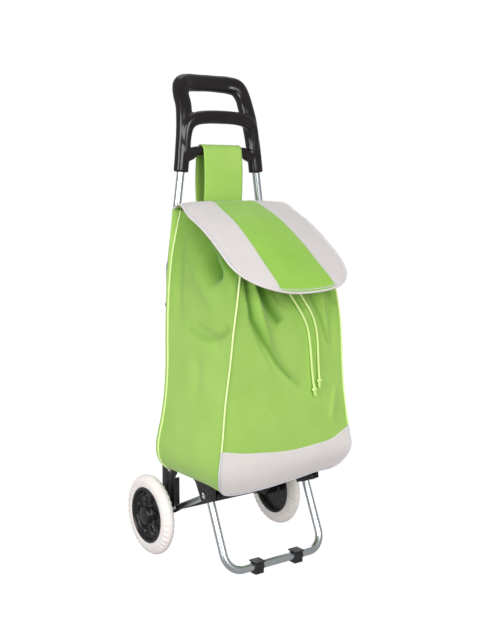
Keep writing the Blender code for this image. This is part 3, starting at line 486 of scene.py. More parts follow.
def front_folds(x, z):
    """How far the front panel stands out of its plane."""
    d = 0.0
    # A sharp fold from the mouth's left end, with the cloth standing proud on its right.
    d += valley(x, z, [(-0.0935, 0.605), (-0.0908, 0.556), (-0.0863, 0.519), (-0.0841, 0.492),
                       (-0.0729, 0.4675), (-0.0593, 0.444), (-0.0293, 0.395), (0.0062, 0.362),
                       (0.0304, 0.346)],
                0.0085, 0.0045, 0.0080, 0.0, 0.6)
    d += valley(x, z, [(-0.0840, 0.605), (-0.0790, 0.556), (-0.0700, 0.509), (-0.0610, 0.481),
                       (-0.0456, 0.440), (-0.0160, 0.398), (0.0120, 0.375)], -0.0095, 0.0090, 0.0110, 0.0,
                0.5)
    d += valley(x, z, [(-0.0700, 0.605), (-0.0665, 0.5546), (-0.0565, 0.5265), (-0.0412, 0.4978),
                       (-0.0157, 0.4717)],
                0.0095, 0.0075, 0.0085, 0.0, 0.35)
    d += valley(x, z, [(-0.0520, 0.605), (-0.0480, 0.5600), (-0.0330, 0.5420), (-0.0060, 0.5250),
                       (0.0120, 0.5150)],
                -0.0055, 0.0080, 0.0080, 0.0, 0.3)
    d += valley(x, z, [(-0.0380, 0.605), (-0.0360, 0.5450), (-0.0183, 0.5236), (0.0051, 0.5108),
                       (0.0266, 0.498)],
                0.0065, 0.0070, 0.0090, 0.0, 0.35)
    d += valley(x, z, [(0.0480, 0.600), (0.0577, 0.5182), (0.0700, 0.490), (0.0781, 0.4597), (0.0850, 0.420)],
                0.0060, 0.0060, 0.0120, 0.0, 0.5)
    d += valley(x, z, [(0.0700, 0.600), (0.0790, 0.520), (0.0940, 0.450), (0.1000, 0.400)],
                -0.0045, 0.0080, 0.0080, 0.0, 0.5)
    d += valley(x, z, [(0.0850, 0.600), (0.0947, 0.516), (0.1060, 0.437), (0.1109, 0.400)],
                0.0070, 0.0050, 0.0090, 0.0, 0.5)
    d += valley(x, z, [(0.1214, 0.355), (0.1064, 0.2875), (0.1283, 0.262)], -0.0025, 0.0050, 0.0090, 0.2, 0.3)
    d += 0.0030 * math.exp(-((z - 0.30) / 0.05) ** 2) * math.cos(x / 0.16 * math.pi / 2)
    return d


def side_folds(y, z, lively):
    """How far a side panel stands out. y is the distance in front of the axle, negative."""
    d = 0.0
    # A deep fold falls from the hinge end of the mouth and stops short of the front seam.
    d += valley(y, z, [(-0.0700, 0.690), (-0.0887, 0.663), (-0.1149, 0.6363), (-0.1442, 0.603),
                       (-0.1763, 0.567), (-0.1870, 0.552)], 0.0210 * lively, 0.0120, 0.0190, 0.0, 0.14)
    d += valley(y, z, [(-0.1100, 0.672), (-0.1450, 0.640), (-0.1850, 0.610), (-0.2047, 0.546)],
                -0.0070 * lively, 0.0120, 0.0100, 0.1, 0.4)
    d += valley(y, z, [(-0.2050, 0.625), (-0.2180, 0.575), (-0.2290, 0.525)], 0.0070, 0.0060, 0.0060, 0.0,
                0.4)
    d += valley(y, z, [(-0.0950, 0.590), (-0.1250, 0.560), (-0.1600, 0.530), (-0.1950, 0.500)],
                -0.0050 * lively, 0.0220, 0.0180, 0.3, 0.4)
    d += valley(y, z, [(-0.1020, 0.480), (-0.1242, 0.472), (-0.1576, 0.465), (-0.190, 0.4544),
                       (-0.2251, 0.466)],
                0.0042 * lively, 0.0100, 0.0160, 0.3, 0.3)
    d += valley(y, z, [(-0.060, 0.660), (-0.066, 0.560), (-0.080, 0.430)], 0.0045, 0.0100, 0.0120, 0.05, 0.6)
    d += valley(y, z, [(-0.1300, 0.440), (-0.1450, 0.380), (-0.1500, 0.300)], 0.0022, 0.0140, 0.0180, 0.3,
                0.5)
    d += 0.0045 * math.exp(-((z - 0.30) / 0.08) ** 2) * math.sin(min(max((-y - 0.04) / 0.2, 0), 1) * math.pi)
    return d


# Painted shade in the folds, where shade falls: a line, the width of the mark on its two sides, and its
# strength at both ends.
front_crease_shades = (
    ([(-0.1045, 0.6000), (-0.1030, 0.5796), (-0.0982, 0.5519), (-0.0919, 0.5239)], 0.0060, 0.0110, 0.75,
     0.35),
    ([(-0.0960, 0.5500), (-0.0940, 0.5300), (-0.0855, 0.4957), (-0.0639, 0.4553), (-0.0284, 0.4055),
      (0.0126, 0.3682), (0.0336, 0.3517)], 0.0016, 0.0120, 0.60, 0.22),
    ([(-0.0900, 0.5300), (-0.0790, 0.4880), (-0.0560, 0.4470), (-0.0250, 0.4040), (0.0126, 0.3690)], 0.0018,
     0.0030, 0.55, 0.40),
    ([(-0.0850, 0.6000), (-0.0748, 0.5642), (-0.0597, 0.5356), (-0.0399, 0.5061), (-0.0198, 0.4762)], 0.0075,
     0.0120, 0.85, 0.70),
    ([(-0.0300, 0.5700), (-0.0112, 0.5358), (0.0114, 0.5165), (0.0346, 0.4932)], 0.0090, 0.0090, 0.60, 0.25),
    ([(0.0420, 0.5400), (0.0623, 0.5128), (0.0768, 0.4825), (0.0868, 0.4522), (0.0948, 0.4293)], 0.0020,
     0.0045, 0.45, 0.35),
    ([(0.0850, 0.5600), (0.0903, 0.5401), (0.1025, 0.5246), (0.1126, 0.5018)], 0.0070, 0.0100, 0.60, 0.20),
)
side_crease_shades = (
    ([(-0.0800, 0.6900), (-0.0976, 0.6707), (-0.1233, 0.6468), (-0.1421, 0.6230), (-0.1576, 0.5958),
      (-0.1729, 0.5759), (-0.1864, 0.5613)], 0.0150, 0.0190, 0.95, 0.95),
    ([(-0.1700, 0.6300), (-0.1825, 0.6147), (-0.2036, 0.5919), (-0.2273, 0.5662), (-0.2440, 0.5408),
      (-0.2500, 0.5250)],
     0.0110, 0.0090, 0.90, 0.60),
    ([(-0.1044, 0.4658), (-0.1401, 0.4520), (-0.1780, 0.4515), (-0.2148, 0.4632), (-0.2357, 0.4814)], 0.0110,
     0.0050, 0.15, 0.30),
)


# Each point's share of painted shade: dark strokes along the folds, and a broad painted shade high on the bag
# under the lid.
def fold_shade_share(p, q, crease_shades):
    kept = 1.0
    for line, near, far, first, last in crease_shades:
        gap, place, turn = beside(p, q, line)
        width = near if turn < 0 else far
        if gap < 3 * width:
            ends = soft_step(0.0, 0.02, place) * (1 - soft_step(0.93, 1.0, place))
            kept *= 1 - (first + (last - first) * place) * ends * math.exp(-(gap / width) ** 2)
    # The upper part of the bag, under the lid, is painted darker: painted shade.
    return 1 - kept * (1 - 0.42 * soft_step(0.40, 0.66, q))


def rim_z(forward):
    return RIM_FRONT + (RIM_BACK - RIM_FRONT) * (0.236 - forward) / (0.236 - 0.0315)


# The floor sags in front of the stand's brackets, more on the left than on the right: x, then the drop.
floor_sag = curve_of([(-0.150, -0.0025), (-0.140, -0.0040), (-0.110, -0.0080), (-0.070, -0.0088),
                      (-0.020, -0.0065), (0.030, -0.0020), (0.053, 0.0005), (0.076, 0.0035), (0.114, 0.0045),
                      (0.150, 0.0060)])


def settled(point):
    """The point moved down with the sagging floor."""
    forward = AXLE_Y - point.y
    share = soft_step(0.175, 0.235, forward) * (1 - soft_step(0.172, 0.255, point.z))
    return point + Vector((0, 0, float(floor_sag(point.x)[0]) * share))


def panel_point(panel, share, z, side=-1):
    """A point on a panel of the bag: share runs left to right on the front, and back to front on a side."""
    return settled(panel_place(panel, share, z, side))


def panel_place(panel, share, z, side):
    xf, yf = front_seam(z)
    xb, xs, yb = back_edge(z)
    drawn = max(0.0, 1 - (rim_z(yf if panel == "front" else yf * share + yb * (1 - share)) - z) / 0.055)
    if panel == "front":
        x = xf * (2 * share - 1)
        low = soft_step(0.1765, 0.25, z)
        ease = min(1.0, min(share, 1 - share) / 0.06)
        d = front_folds(x, z) * low * ease
        d += 0.0016 * drawn * math.sin(x * 2 * math.pi / 0.021) * ease
        d += 0.0009 * noise.noise(Vector((x * 22, z * 14, 3.0))) * low * ease
        return Vector((x, AXLE_Y - yf - d, z))
    if panel == "side":
        y = -(BACK_SEAM + (yf - BACK_SEAM) * share)
        x = xs + (xf - xs) * share
        ease = min(1.0, min(share, 1 - share) / 0.06) * soft_step(0.1765, 0.22, z)
        d = side_folds(y, z, 1.0 if side < 0 else 0.75) * ease
        d += 0.0016 * drawn * math.sin(y * 2 * math.pi / 0.023 + side) * ease
        d += 0.0009 * noise.noise(Vector((y * 20, z * 14, 7.0 + side))) * ease
        return Vector((side * (x + d), AXLE_Y + y, z))
    x = xb * (2 * share - 1)
    d = 0.0012 * noise.noise(Vector((x * 16, z * 12, 11.0)))
    return Vector((x, AXLE_Y - yb - min(0.0, d), z))


LOW_Z = 0.1765
columns = []
for i in range(12):
    columns.append(("back", 0.5 - 0.5 * i / 12, -1))
for i in range(3):
    columns.append(("turn", i / 3, -1))
for i in range(64):
    columns.append(("side", i / 64, -1))
for i in range(96):
    columns.append(("front", i / 96, -1))
for i in range(64):
    columns.append(("side", 1 - i / 64, 1))
for i in range(3):
    columns.append(("turn", 1 - i / 3, 1))
for i in range(12):
    columns.append(("back", 1 - 0.5 * i / 12, 1))


def column_point(panel, share, side, v):
    """A column's point at a share v of the way from the floor to the rim."""
    forward = {"back": 0.0315, "turn": 0.036, "front": 0.236}.get(panel, 0.0405 + 0.1955 * share)
    z = LOW_Z + (rim_z(forward) - LOW_Z) * v
    if panel != "turn":
        return panel_point(panel, share, z, side)
    xb, xs, yb = back_edge(z)
    a, b = Vector((side * xb, AXLE_Y - yb, z)), Vector((side * xs, AXLE_Y - BACK_SEAM, z))
    out = Vector((side * 0.0022, -0.0004, 0)) * math.sin(share * math.pi)
    return a.lerp(b, share) + out


levels = [(i / 30) * 0.09 for i in range(30)] + [0.09 + 0.91 * i / 110 for i in range(111)]
rows = [[column_point(p, s, side, v) for p, s, side in columns] for v in levels]
# Painted shade: each point of the front and sides takes its share of crease shade.
fold_shades = []
for row in rows:
    shares = []
    for (panel, share, side), point in zip(columns, row):
        if panel == "front":
            shares.append(fold_shade_share(point.x, point.z, front_crease_shades))
        elif panel == "side":
            shares.append(fold_shade_share(point.y - AXLE_Y, point.z, side_crease_shades))
        else:
            shares.append(0.0)
    fold_shades.append(shares)
floor_rows = []
for inset in (0.06, 0.15, 0.4, 0.7, 0.97):
    floor_rows.append([settled(Vector((p.x * (1 - inset),
                                       (p.y - AXLE_Y + 0.135) * (1 - inset) + AXLE_Y - 0.135,
                                       LOW_Z - 0.0012 * min(1, inset * 8)))) for p in rows[0]])
# The crease colour is the painted shade of the folds.
green_cloth = cloth("green_cloth", srgb(141, 186, 74), srgb(178, 216, 112), painted_crease_shade=srgb(62, 118, 2))
bag = grid_piece("bag_panels", list(reversed(floor_rows)) + rows, green_cloth, around=True, smooth=50,
                 fold_shades=[[0.0] * len(columns)] * len(floor_rows) + fold_shades)
work = bmesh.new()
work.from_mesh(bag.data)
rim_edge = [e for e in work.edges if e.is_boundary and (e.verts[0].co.z + e.verts[1].co.z) / 2 < 0.2]
bmesh.ops.holes_fill(work, edges=rim_edge, sides=0)
bmesh.ops.recalc_face_normals(work, faces=work.faces)
volume = sum(f.calc_center_median().dot(f.normal) * f.calc_area() for f in work.faces)
if volume < 0:
    bmesh.ops.reverse_faces(work, faces=work.faces)
work.to_mesh(bag.data)
work.free()
wall = bag.modifiers.new("wall", "SOLIDIFY")
wall.thickness = 0.0016
wall.offset = -1
applied(bag)
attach(bag, "frame")
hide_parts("bag")

# Lock stitches: a short thread every few millimetres along a line, laid along its way.
stitching = bpy.data.node_groups.new("stitching", "GeometryNodeTree")
stitching.interface.new_socket("Line", in_out="INPUT", socket_type="NodeSocketGeometry")
for word, size in (("Spacing", 0.0034), ("Stitch Length", 0.0024), ("Thread Width", 0.0007)):
    stitching.interface.new_socket(word, in_out="INPUT", socket_type="NodeSocketFloat").default_value = size
stitching.interface.new_socket("Finish", in_out="INPUT", socket_type="NodeSocketMaterial")
stitching.interface.new_socket("Stitches", in_out="OUTPUT", socket_type="NodeSocketGeometry")
wants = stitching.nodes.new("NodeGroupInput").outputs
gives = stitching.nodes.new("NodeGroupOutput").inputs
curve = add(stitching, "GeometryNodeMeshToCurve", None, {0: wants["Line"]}).outputs[0]
dots = add(stitching, "GeometryNodeCurveToPoints", {"mode": "LENGTH"},
           {"Curve": curve, "Length": wants["Spacing"]})
bead = add(stitching, "GeometryNodeMeshUVSphere", None, {"Segments": 6, "Rings": 4, "Radius": 0.5}).outputs[0]
shape = add(stitching, "ShaderNodeCombineXYZ", None,
            {0: wants["Thread Width"], 1: wants["Thread Width"], 2: wants["Stitch Length"]}).outputs[0]
bead = add(stitching, "GeometryNodeTransform", None, {"Geometry": bead, "Scale": shape}).outputs[0]
turned_to = add(stitching, "FunctionNodeAlignRotationToVector", {"axis": "Z"},
                {"Vector": dots.outputs["Tangent"]})
copies = add(stitching, "GeometryNodeInstanceOnPoints", None,
             {"Points": dots.outputs["Points"], "Instance": bead,
              "Rotation": turned_to.outputs[0]}).outputs[0]
solid = add(stitching, "GeometryNodeRealizeInstances", None, {0: copies}).outputs[0]
dressed = add(stitching, "GeometryNodeSetMaterial", None,
              {"Geometry": solid, "Material": wants["Finish"]}).outputs[0]
stitching.links.new(dressed, gives["Stitches"])


def thread_finish(name, dark, light):
    """Twisted sewing thread."""
    made, tree, shader = finish_of(name, Roughness=0.6, Sheen_Weight=0.2)
    place = add(tree, "ShaderNodeTexCoord").outputs["Object"]
    twist = add(tree, "ShaderNodeTexNoise", None,
                {"Vector": place, "Scale": 1800.0, "Detail": 2.0}).outputs[0]
    tone = add(tree, "ShaderNodeMix", {"data_type": "RGBA"}, {0: twist, 6: dark, 7: light})
    tree.links.new(tone.outputs[2], shader.inputs["Base Color"])
    bump = add(tree, "ShaderNodeBump", None, {"Height": twist, "Distance": 0.0001, "Strength": 0.5})
    tree.links.new(bump.outputs[0], shader.inputs["Normal"])
    return made


green_thread = thread_finish("green_thread", srgb(126, 176, 58), srgb(170, 212, 96))
pale_thread = thread_finish("pale_thread", srgb(205, 200, 197), srgb(232, 228, 225))


def stitched(name, lines, finish, spacing=0.0034):
    """One piece that holds the stitches along several lines."""
    mesh = bpy.data.meshes.new(name)
    points, edges = [], []
    for line in lines:
        start = len(points)
        points += [p[:] for p in line]
        edges += [(start + i, start + i + 1) for i in range(len(line) - 1)]
    mesh.from_pydata(points, edges, [])
    made = bpy.data.objects.new(name, mesh)
    bpy.context.scene.collection.objects.link(made)
    maker = made.modifiers.new("stitching", "NODES")
    maker.node_group = stitching
    for item in stitching.interface.items_tree:
        if item.name == "Spacing":
            maker[item.identifier] = spacing
        if item.name == "Finish":
            maker[item.identifier] = finish
    applied(made)
    made.data.shade_smooth()
    return made


# The pale band is a panel of its own, sewn over the front's lower part, with a sagging top edge.
band_top = curve_of([(-0.156, 0.2600), (-0.145, 0.2585), (-0.110, 0.2510), (-0.063, 0.2450), (0.0, 0.2390),
                     (0.068, 0.2410), (0.111, 0.2465), (0.132, 0.2560), (0.153, 0.2655), (0.156, 0.2668)])
pale_cloth = cloth("pale_cloth", srgb(216, 209, 205), srgb(236, 230, 227))
# The lid's pale cloth is a darker copy of the band's: painted shade on the lid's upward face.
lid_pale_shaded = cloth("lid_pale_shaded", srgb(202, 196, 193), srgb(222, 216, 214))
rows = []
for i in range(41):
    v = i / 40
    row = []
    for j in range(97):
        share = j / 96
        guess = 0.22
        for _ in range(3):
            x = front_seam(guess)[0] * (2 * share - 1)
            guess = LOW_Z + 0.0006 + (float(band_top(x)[0]) - LOW_Z - 0.0006) * v
        p = panel_point("front", share, guess)
        row.append(p + Vector((0, -0.0010, 0)))
    rows.append(row)
band = grid_piece("bag_band", rows, pale_cloth)
wall = band.modifiers.new("wall", "SOLIDIFY")
wall.thickness = 0.0008
wall.offset = 0
applied(band)
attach(band, "frame")

# A double row along the band's top, and one row beside each piped seam.
rows_of_stitches = []
for drop in (0.0022, 0.0050):
    line = []
    for j in range(2, 95):
        share = j / 96
        z = 0.25
        for _ in range(3):
            x = front_seam(z)[0] * (2 * share - 1)
            z = float(band_top(x)[0]) - drop
        line.append(panel_point("front", share, z) + Vector((0, -0.0015, 0)))
    rows_of_stitches.append(line)
band_stitches = stitched("bag_band_stitches", rows_of_stitches, pale_thread)
rows_of_stitches = []
for share in (0.018, 0.982):
    rows_of_stitches.append([panel_point("front", share, 0.270 + 0.310 * i / 80) + Vector((0, -0.0002, 0))
                             for i in range(81)])
for side in (-1, 1):
    rows_of_stitches.append([panel_point("side", 0.982, 0.190 + 0.392 * i / 80, side)
                             + Vector((side * 0.0002, 0, 0))
                             for i in range(81)])
    rows_of_stitches.append([panel_point("side", 0.024, 0.190 + 0.480 * i / 80, side)
                             + Vector((side * 0.0002, 0, 0))
                             for i in range(81)])
seam_stitches = stitched("bag_seam_stitches", rows_of_stitches, green_thread, spacing=0.0038)
for one in (band_stitches, seam_stitches):
    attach(one, "frame")

# Piping: a covered cord in every seam, yellow-green on the bag and grey round the band.
piping_cloth = cloth("piping_cloth", srgb(214, 240, 140), srgb(244, 255, 204), thread=0.0006, relief=0.00008)
grey_piping = cloth("grey_piping", srgb(196, 194, 202), srgb(220, 218, 224), thread=0.0006, relief=0.00008)


def front_seam_path(side, low, high):
    made = []
    for i in range(61):
        z = low + (high - low) * i / 60
        x, forward = front_seam(z)
        made.append(settled(Vector((side * (x + 0.0008), AXLE_Y - forward - 0.0012, z))))
    return made


def back_seam_path(side, low, high):
    made = []
    for i in range(61):
        z = low + (high - low) * i / 60
        made.append(Vector((side * (back_edge(z)[1] + 0.0012), AXLE_Y - BACK_SEAM, z)))
    return made


PIPE = 0.00165
pipes = []
for side in (-1, 1):
    pipes.append(sweep("pipe", even_path(front_seam_path(side, 0.2595 if side < 0 else 0.2665, 0.584), 0.004),
                       PIPE, piping_cloth, sides=12))
    pipes.append(sweep("pipe", even_path(back_seam_path(side, 0.182, 0.683), 0.004), PIPE, piping_cloth,
                       sides=12))
piping = joined("bag_piping", pipes)
low_path = list(reversed(front_seam_path(-1, 0.1772, 0.2595)))
low_path += [settled(Vector((x / 100, AXLE_Y - 0.2225, 0.1757))) for x in range(-12, 13)]
low_path += front_seam_path(1, 0.1772, 0.2665)
grey_edge = sweep("bag_band_piping", even_path(smooth_path(low_path, 2), 0.004), PIPE, grey_piping, sides=12)
for one in (piping, grey_edge):
    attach(one, "frame")


# ---------------------------------------------------------------- lid
# A padded-looking lid of three joined panels, green between two pale ones, with a bound edge.
# It is sewn to the bag's back and falls over the drawn mouth.

lid_middle = [(0.0385, 0.6985), (0.0550, 0.7008), (0.0720, 0.6990), (0.0930, 0.6912), (0.1370, 0.6715),
              (0.1755, 0.6485), (0.2145, 0.6210), (0.2518, 0.5915), (0.2800, 0.5700), (0.2960, 0.5545),
              (0.3012, 0.5430)]
profile = smooth_path([(f, z, 0) for f, z in lid_middle], 12)
lengths = [0.0]
for a, b in zip(profile, profile[1:]):
    lengths.append(lengths[-1] + (b - a).length)
LID_LENGTH = lengths[-1]
LID_HALF = 0.129


def lid_reach(t):
    """How long the lid is at a share t of the way out to its side edge."""
    return LID_LENGTH - 0.105 * (1 - math.sqrt(max(0.0, 1 - abs(t) ** 2.6)))


def lid_point(t, s):
    """A point on the lid's upper face: t across from -1 to 1, s along it in metres."""
    k = min(int(np.searchsorted(lengths, s, side="right")) - 1, len(profile) - 2)
    place = profile[k].lerp(profile[k + 1], (s - lengths[k]) / (lengths[k + 1] - lengths[k]))
    settle = min(1.0, s / 0.08)
    settle = settle * settle * (3 - 2 * settle)
    width = LID_HALF * (0.93 + 0.07 * settle)
    curl = max(0.0, 1 - s / 0.045)
    drop = 0.011 * settle * t * t + 0.011 * abs(t) ** 6 * curl * curl
    wave = 0.0010 * noise.noise(Vector((t * 2.2, s * 12, 5.0))) * settle
    return Vector((t * width, AXLE_Y - place.x, place.y - drop + wave))


def stripe_half(s):
    return 0.0475 + 0.0155 * min(1.0, s / LID_LENGTH) ** 0.8


ACROSS, ALONG = 24, 90
shares = []
for i in range(ACROSS):
    shares.append(("left", i / ACROSS))
for i in range(ACROSS):
    shares.append(("middle", i / ACROSS))
for i in range(ACROSS + 1):
    shares.append(("right", i / ACROSS))


def lid_share(part, share, s):
    """The share across for a column, which keeps the panels' seams on columns."""
    seam = stripe_half(s) / LID_HALF
    if part == "left":
        return -1 + (1 - seam) * share ** 1.35
    if part == "middle":
        return -seam + 2 * seam * share
    return seam + (1 - seam) * (1 - (1 - share) ** 1.35)


rows = []
for j in range(ALONG + 1):
    v = j / ALONG
    row = []
    for part, share in shares:
        t = lid_share(part, share, v * LID_LENGTH)
        reach = lid_reach(t)
        row.append(lid_point(t, reach * v))
    rows.append(row)
# The lid's green is a darker copy of the bag's green cloth: painted shade on the lid's upward face.
lid_green_shaded = cloth("lid_green_shaded", srgb(122, 174, 44), srgb(160, 208, 82))
lid = grid_piece("lid_panels", rows, lid_pale_shaded, smooth=60)
lid.data.materials.append(lid_green_shaded)
per_row = len(shares) - 1
for face in lid.data.polygons:
    column = face.index % per_row
    face.material_index = 1 if ACROSS <= column < 2 * ACROSS else 0
if lid.data.polygons[len(lid.data.polygons) // 2].normal.z < 0:
    lid.data.flip_normals()
wall = lid.modifiers.new("wall", "SOLIDIFY")
wall.thickness = 0.0022
wall.offset = -1
applied(lid)

# Binding folded over the lid's edge, a thin cord round the lid just inside it, and stitches along the panels'
# seams and near the edge.
edge = [lid_point(-1, lid_reach(-1) * i / 60) for i in range(61)]
edge += [lid_point(t, lid_reach(t)) for t in np.sin(np.linspace(-math.pi / 2, math.pi / 2, 121))[1:-1]]
edge += [lid_point(1, lid_reach(1) * i / 60) for i in range(60, -1, -1)]
binding = sweep("lid_binding", even_path([p + Vector((0, 0, -0.0011)) for p in edge], 0.003), 0.0022,
                lid_pale_shaded, sides=12)


def lid_line(inset, lift=0.0003, steps=120):
    """A line round the lid, a fixed way in from its edge."""
    made = []
    share = 1 - inset / LID_HALF
    for i in range(1, 40):
        made.append((-share, (lid_reach(share) - inset * 0.4) * i / 40))
    for t in np.sin(np.linspace(-math.pi / 2, math.pi / 2, steps)):
        made.append((float(t) * share, lid_reach(float(t) * share) - inset * (0.4 + 0.6 * (1 - t * t))))
    for i in range(39, 0, -1):
        made.append((share, (lid_reach(share) - inset * 0.4) * i / 40))
    return [lid_point(t, s) + Vector((0, -lift, lift)) for t, s in made]


lid_cord = sweep("lid_inner_piping", even_path(lid_line(0.0042, 0.0001), 0.003), 0.0007, grey_piping, sides=8)
seam_rows = []
for side in (-1, 1):
    for away in (-0.0018, 0.0018):
        line = []
        for i in range(4, 89):
            s = LID_LENGTH * i / 90
            t = side * (stripe_half(s) + away) / LID_HALF
            line.append(lid_point(t, min(s, lid_reach(t))) + Vector((0, -0.0002, 0.0003)))
        seam_rows.append(line)
lid_stitches = stitched("lid_seam_stitches", seam_rows, green_thread)
edge_stitches = stitched("lid_edge_stitches", [lid_line(0.0066, 0.0002)], pale_thread)
for one in (lid, binding, lid_cord, lid_stitches, edge_stitches):
    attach(one, "flap")
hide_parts("flap")


# ---------------------------------------------------------------- strap
# A wide band of the bag's cloth. It is sewn to the bag's back and loops over the handle's crossbar,
# so that it holds the bag up.

strap_thick = 0.0020
back = 0.0315 - 0.0003 - strap_thick / 2 - 0.0002
turn = [(0.018 + 0.0125 * math.cos(a), 0.7975 + 0.0112 * math.sin(a)) for a in np.linspace(0, math.pi, 17)]
strap_line = [(back, 0.640), (back, 0.670), (back, 0.6925), (0.0320, 0.715), (0.0335, 0.755), (0.0320, 0.783)]
strap_line += turn + [(0.0035, 0.783), (0.0010, 0.755), (0.0005, 0.725), (0.0040, 0.690), (0.0150, 0.650),
                      (0.0255, 0.620), (back, 0.602), (back, 0.580)]
line = even_path(smooth_path([(0, AXLE_Y - f, z) for f, z in strap_line], 4), 0.004)
rows = []
for p in line:
    row = []
    for j in range(25):
        x = 0.045 * (2 * j / 24 - 1)
        row.append(Vector((x, p.y, p.z)))
    rows.append(row)
strap = grid_piece("strap_band", rows, green_cloth)
wall = strap.modifiers.new("wall", "SOLIDIFY")
wall.thickness = strap_thick
wall.offset = 0
applied(strap)
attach(strap, "frame")
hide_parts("strap")
strap_rows = []
for x in (-0.0425, 0.0425):
    for outside in (1, -1):
        line_of = []
        for a, b, c in zip(line, line[1:], line[2:]):
            way = (c - a).normalized()
            out = Vector((0, way.z, -way.y)) * outside
            line_of.append(Vector((x, b.y, b.z)) + out * (strap_thick / 2 + 0.0001))
        strap_rows.append(line_of)
strap_stitches = stitched("strap_stitches", strap_rows, green_thread, spacing=0.0036)
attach(strap_stitches, "frame")


# ---------------------------------------------------------------- handle
# A double grip moulded in dark glossy plastic: an outer hoop, an arched grip and a low crossbar.
# They run into each other with wide fillets. Each socket is pushed over an upright and held by a screw behind.

moulding, tree, shader = finish_of("dark_moulding", Roughness=0.24, Specular_IOR_Level=0.5)
place = add(tree, "ShaderNodeTexCoord").outputs["Object"]
clouds = add(tree, "ShaderNodeTexNoise", None, {"Vector": place, "Scale": 30.0, "Detail": 5.0}).outputs[0]
grain = add(tree, "ShaderNodeTexNoise", None, {"Vector": place, "Scale": 900.0, "Detail": 2.0}).outputs[0]
tone = add(tree, "ShaderNodeMix", {"data_type": "RGBA"}, {0: clouds, 6: srgb(12, 7, 10), 7: srgb(26, 17, 22)})
tree.links.new(tone.outputs[2], shader.inputs["Base Color"])
gloss = add(tree, "ShaderNodeMapRange", None, {0: clouds, 1: 0.3, 2: 0.7, 3: 0.17, 4: 0.30}).outputs[0]
tree.links.new(gloss, shader.inputs["Roughness"])
both = maths(tree, "ADD", maths(tree, "MULTIPLY", grain, 0.05), clouds)
bump = add(tree, "ShaderNodeBump", None, {"Height": both, "Distance": 0.0008, "Strength": 0.35})
tree.links.new(bump.outputs[0], shader.inputs["Normal"])


def superellipse(centre, across, deep, width, height, power=2.5, count=28):
    made = []
    for i in range(count):
        turn = 2 * math.pi * i / count
        c, s = math.cos(turn), math.sin(turn)
        u = math.copysign(abs(c) ** (2 / power), c) * width / 2
        v = math.copysign(abs(s) ** (2 / power), s) * height / 2
        made.append(centre + across * u + deep * v)
    return made


def smooth_rows(rows, per_span):
    """Rows of numbers made denser by the same Catmull-Rom curve."""
    rows = [np.array(r, float) for r in rows]
    ends = [rows[0] * 2 - rows[1]] + rows + [rows[-1] * 2 - rows[-2]]
    made = []
    for a, b, c, d in zip(ends, ends[1:], ends[2:], ends[3:]):
        for i in range(per_span):
            t = i / per_span
            made.append(0.5 * (2 * b + (c - a) * t + (2 * a - 5 * b + 4 * c - d) * t * t
                               + (3 * b - a - 3 * c + d) * t ** 3))
    return made + [rows[-1]]


def grip_bar(half):
    """Half a bar as rows of x, y, z, width, depth and lean, mirrored and swept into a closed form."""
    whole = half + [(-x, y, z, w, d, lean) for x, y, z, w, d, lean in reversed(half[:-1])]
    stations = smooth_rows(whole, 6)
    rows = []
    for i, (x, y, z, w, d, lean) in enumerate(stations):
        before, after = stations[max(i - 1, 0)], stations[min(i + 1, len(stations) - 1)]
        tangent = Vector((after[:3] - before[:3]).tolist()).normalized()
        tilt = Matrix.Rotation(math.radians(-lean), 3, "X")
        deep = tilt @ Vector((0, 1, 0))
        deep = (deep - tangent * deep.dot(tangent)).normalized()
        across = deep.cross(tangent)
        rows.append(superellipse(Vector((x, y, z)), across, deep, w, d))
    return grid_piece("bar", rows, moulding, around=True, capped=True)


HANDLE_Y = AXLE_Y - 0.018
SOCKET_X = 0.0903
SOCKET_Z = 0.755
UPPER_LEAN = 0.125
hoop = []
for z, back, wide, deep, lean in ((0.7555, 0, 0, 0, 0), (0.775, 0, 0, 0, 0), (0.800, 0.0008, 0.001, 0, 3),
                                  (0.830, 0.0028, 0.001, 0.001, 6), (0.860, 0.0068, 0.002, 0.002, 12),
                                  (0.885, 0.0138, 0.002, 0.003, 18)):
    hoop.append((-(SOCKET_X - (z - SOCKET_Z) * UPPER_LEAN), HANDLE_Y + back, z, 0.029 + wide, 0.024 + deep,
                 lean))
for x, back, z, wide, deep, lean in ((-0.0735, 0.0235, 0.9060, 0.031, 0.027, 20),
                                     (-0.0655, 0.0320, 0.9240, 0.036, 0.028, 24),
                                     (-0.0470, 0.0380, 0.9295, 0.036, 0.025, 25),
                                     (-0.0230, 0.0400, 0.9305, 0.035, 0.022, 25),
                                     (0.0, 0.0405, 0.9310, 0.0345, 0.022, 25)):
    hoop.append((x, HANDLE_Y + back, z, wide, deep, lean))
arch = [(-0.0810, HANDLE_Y - 0.0030, 0.7950, 0.018, 0.020, 0),
        (-0.0805, HANDLE_Y - 0.0045, 0.8220, 0.020, 0.021, 0),
        (-0.0750, HANDLE_Y - 0.0055, 0.8445, 0.023, 0.021, 0),
        (-0.0600, HANDLE_Y - 0.0060, 0.8570, 0.026, 0.021, 0),
        (-0.0350, HANDLE_Y - 0.0065, 0.8615, 0.026, 0.021, 0),
        (0.0, HANDLE_Y - 0.0065, 0.8625, 0.026, 0.021, 0)]
low_bar = [(-0.0860, HANDLE_Y, 0.7900, 0.031, 0.021, 0), (-0.0700, HANDLE_Y, 0.7905, 0.026, 0.021, 0),
           (-0.0580, HANDLE_Y, 0.7955, 0.020, 0.020, 0), (-0.0450, HANDLE_Y, 0.7975, 0.018, 0.020, 0),
           (0.0, HANDLE_Y, 0.7975, 0.018, 0.020, 0)]
bars = [grip_bar(hoop), grip_bar(arch), grip_bar(low_bar)]
handle = joined("handle_moulding", bars)
remesh = handle.modifiers.new("one_skin", "REMESH")
remesh.mode = "VOXEL"
remesh.voxel_size = 0.0016
even = handle.modifiers.new("fillets", "SMOOTH")
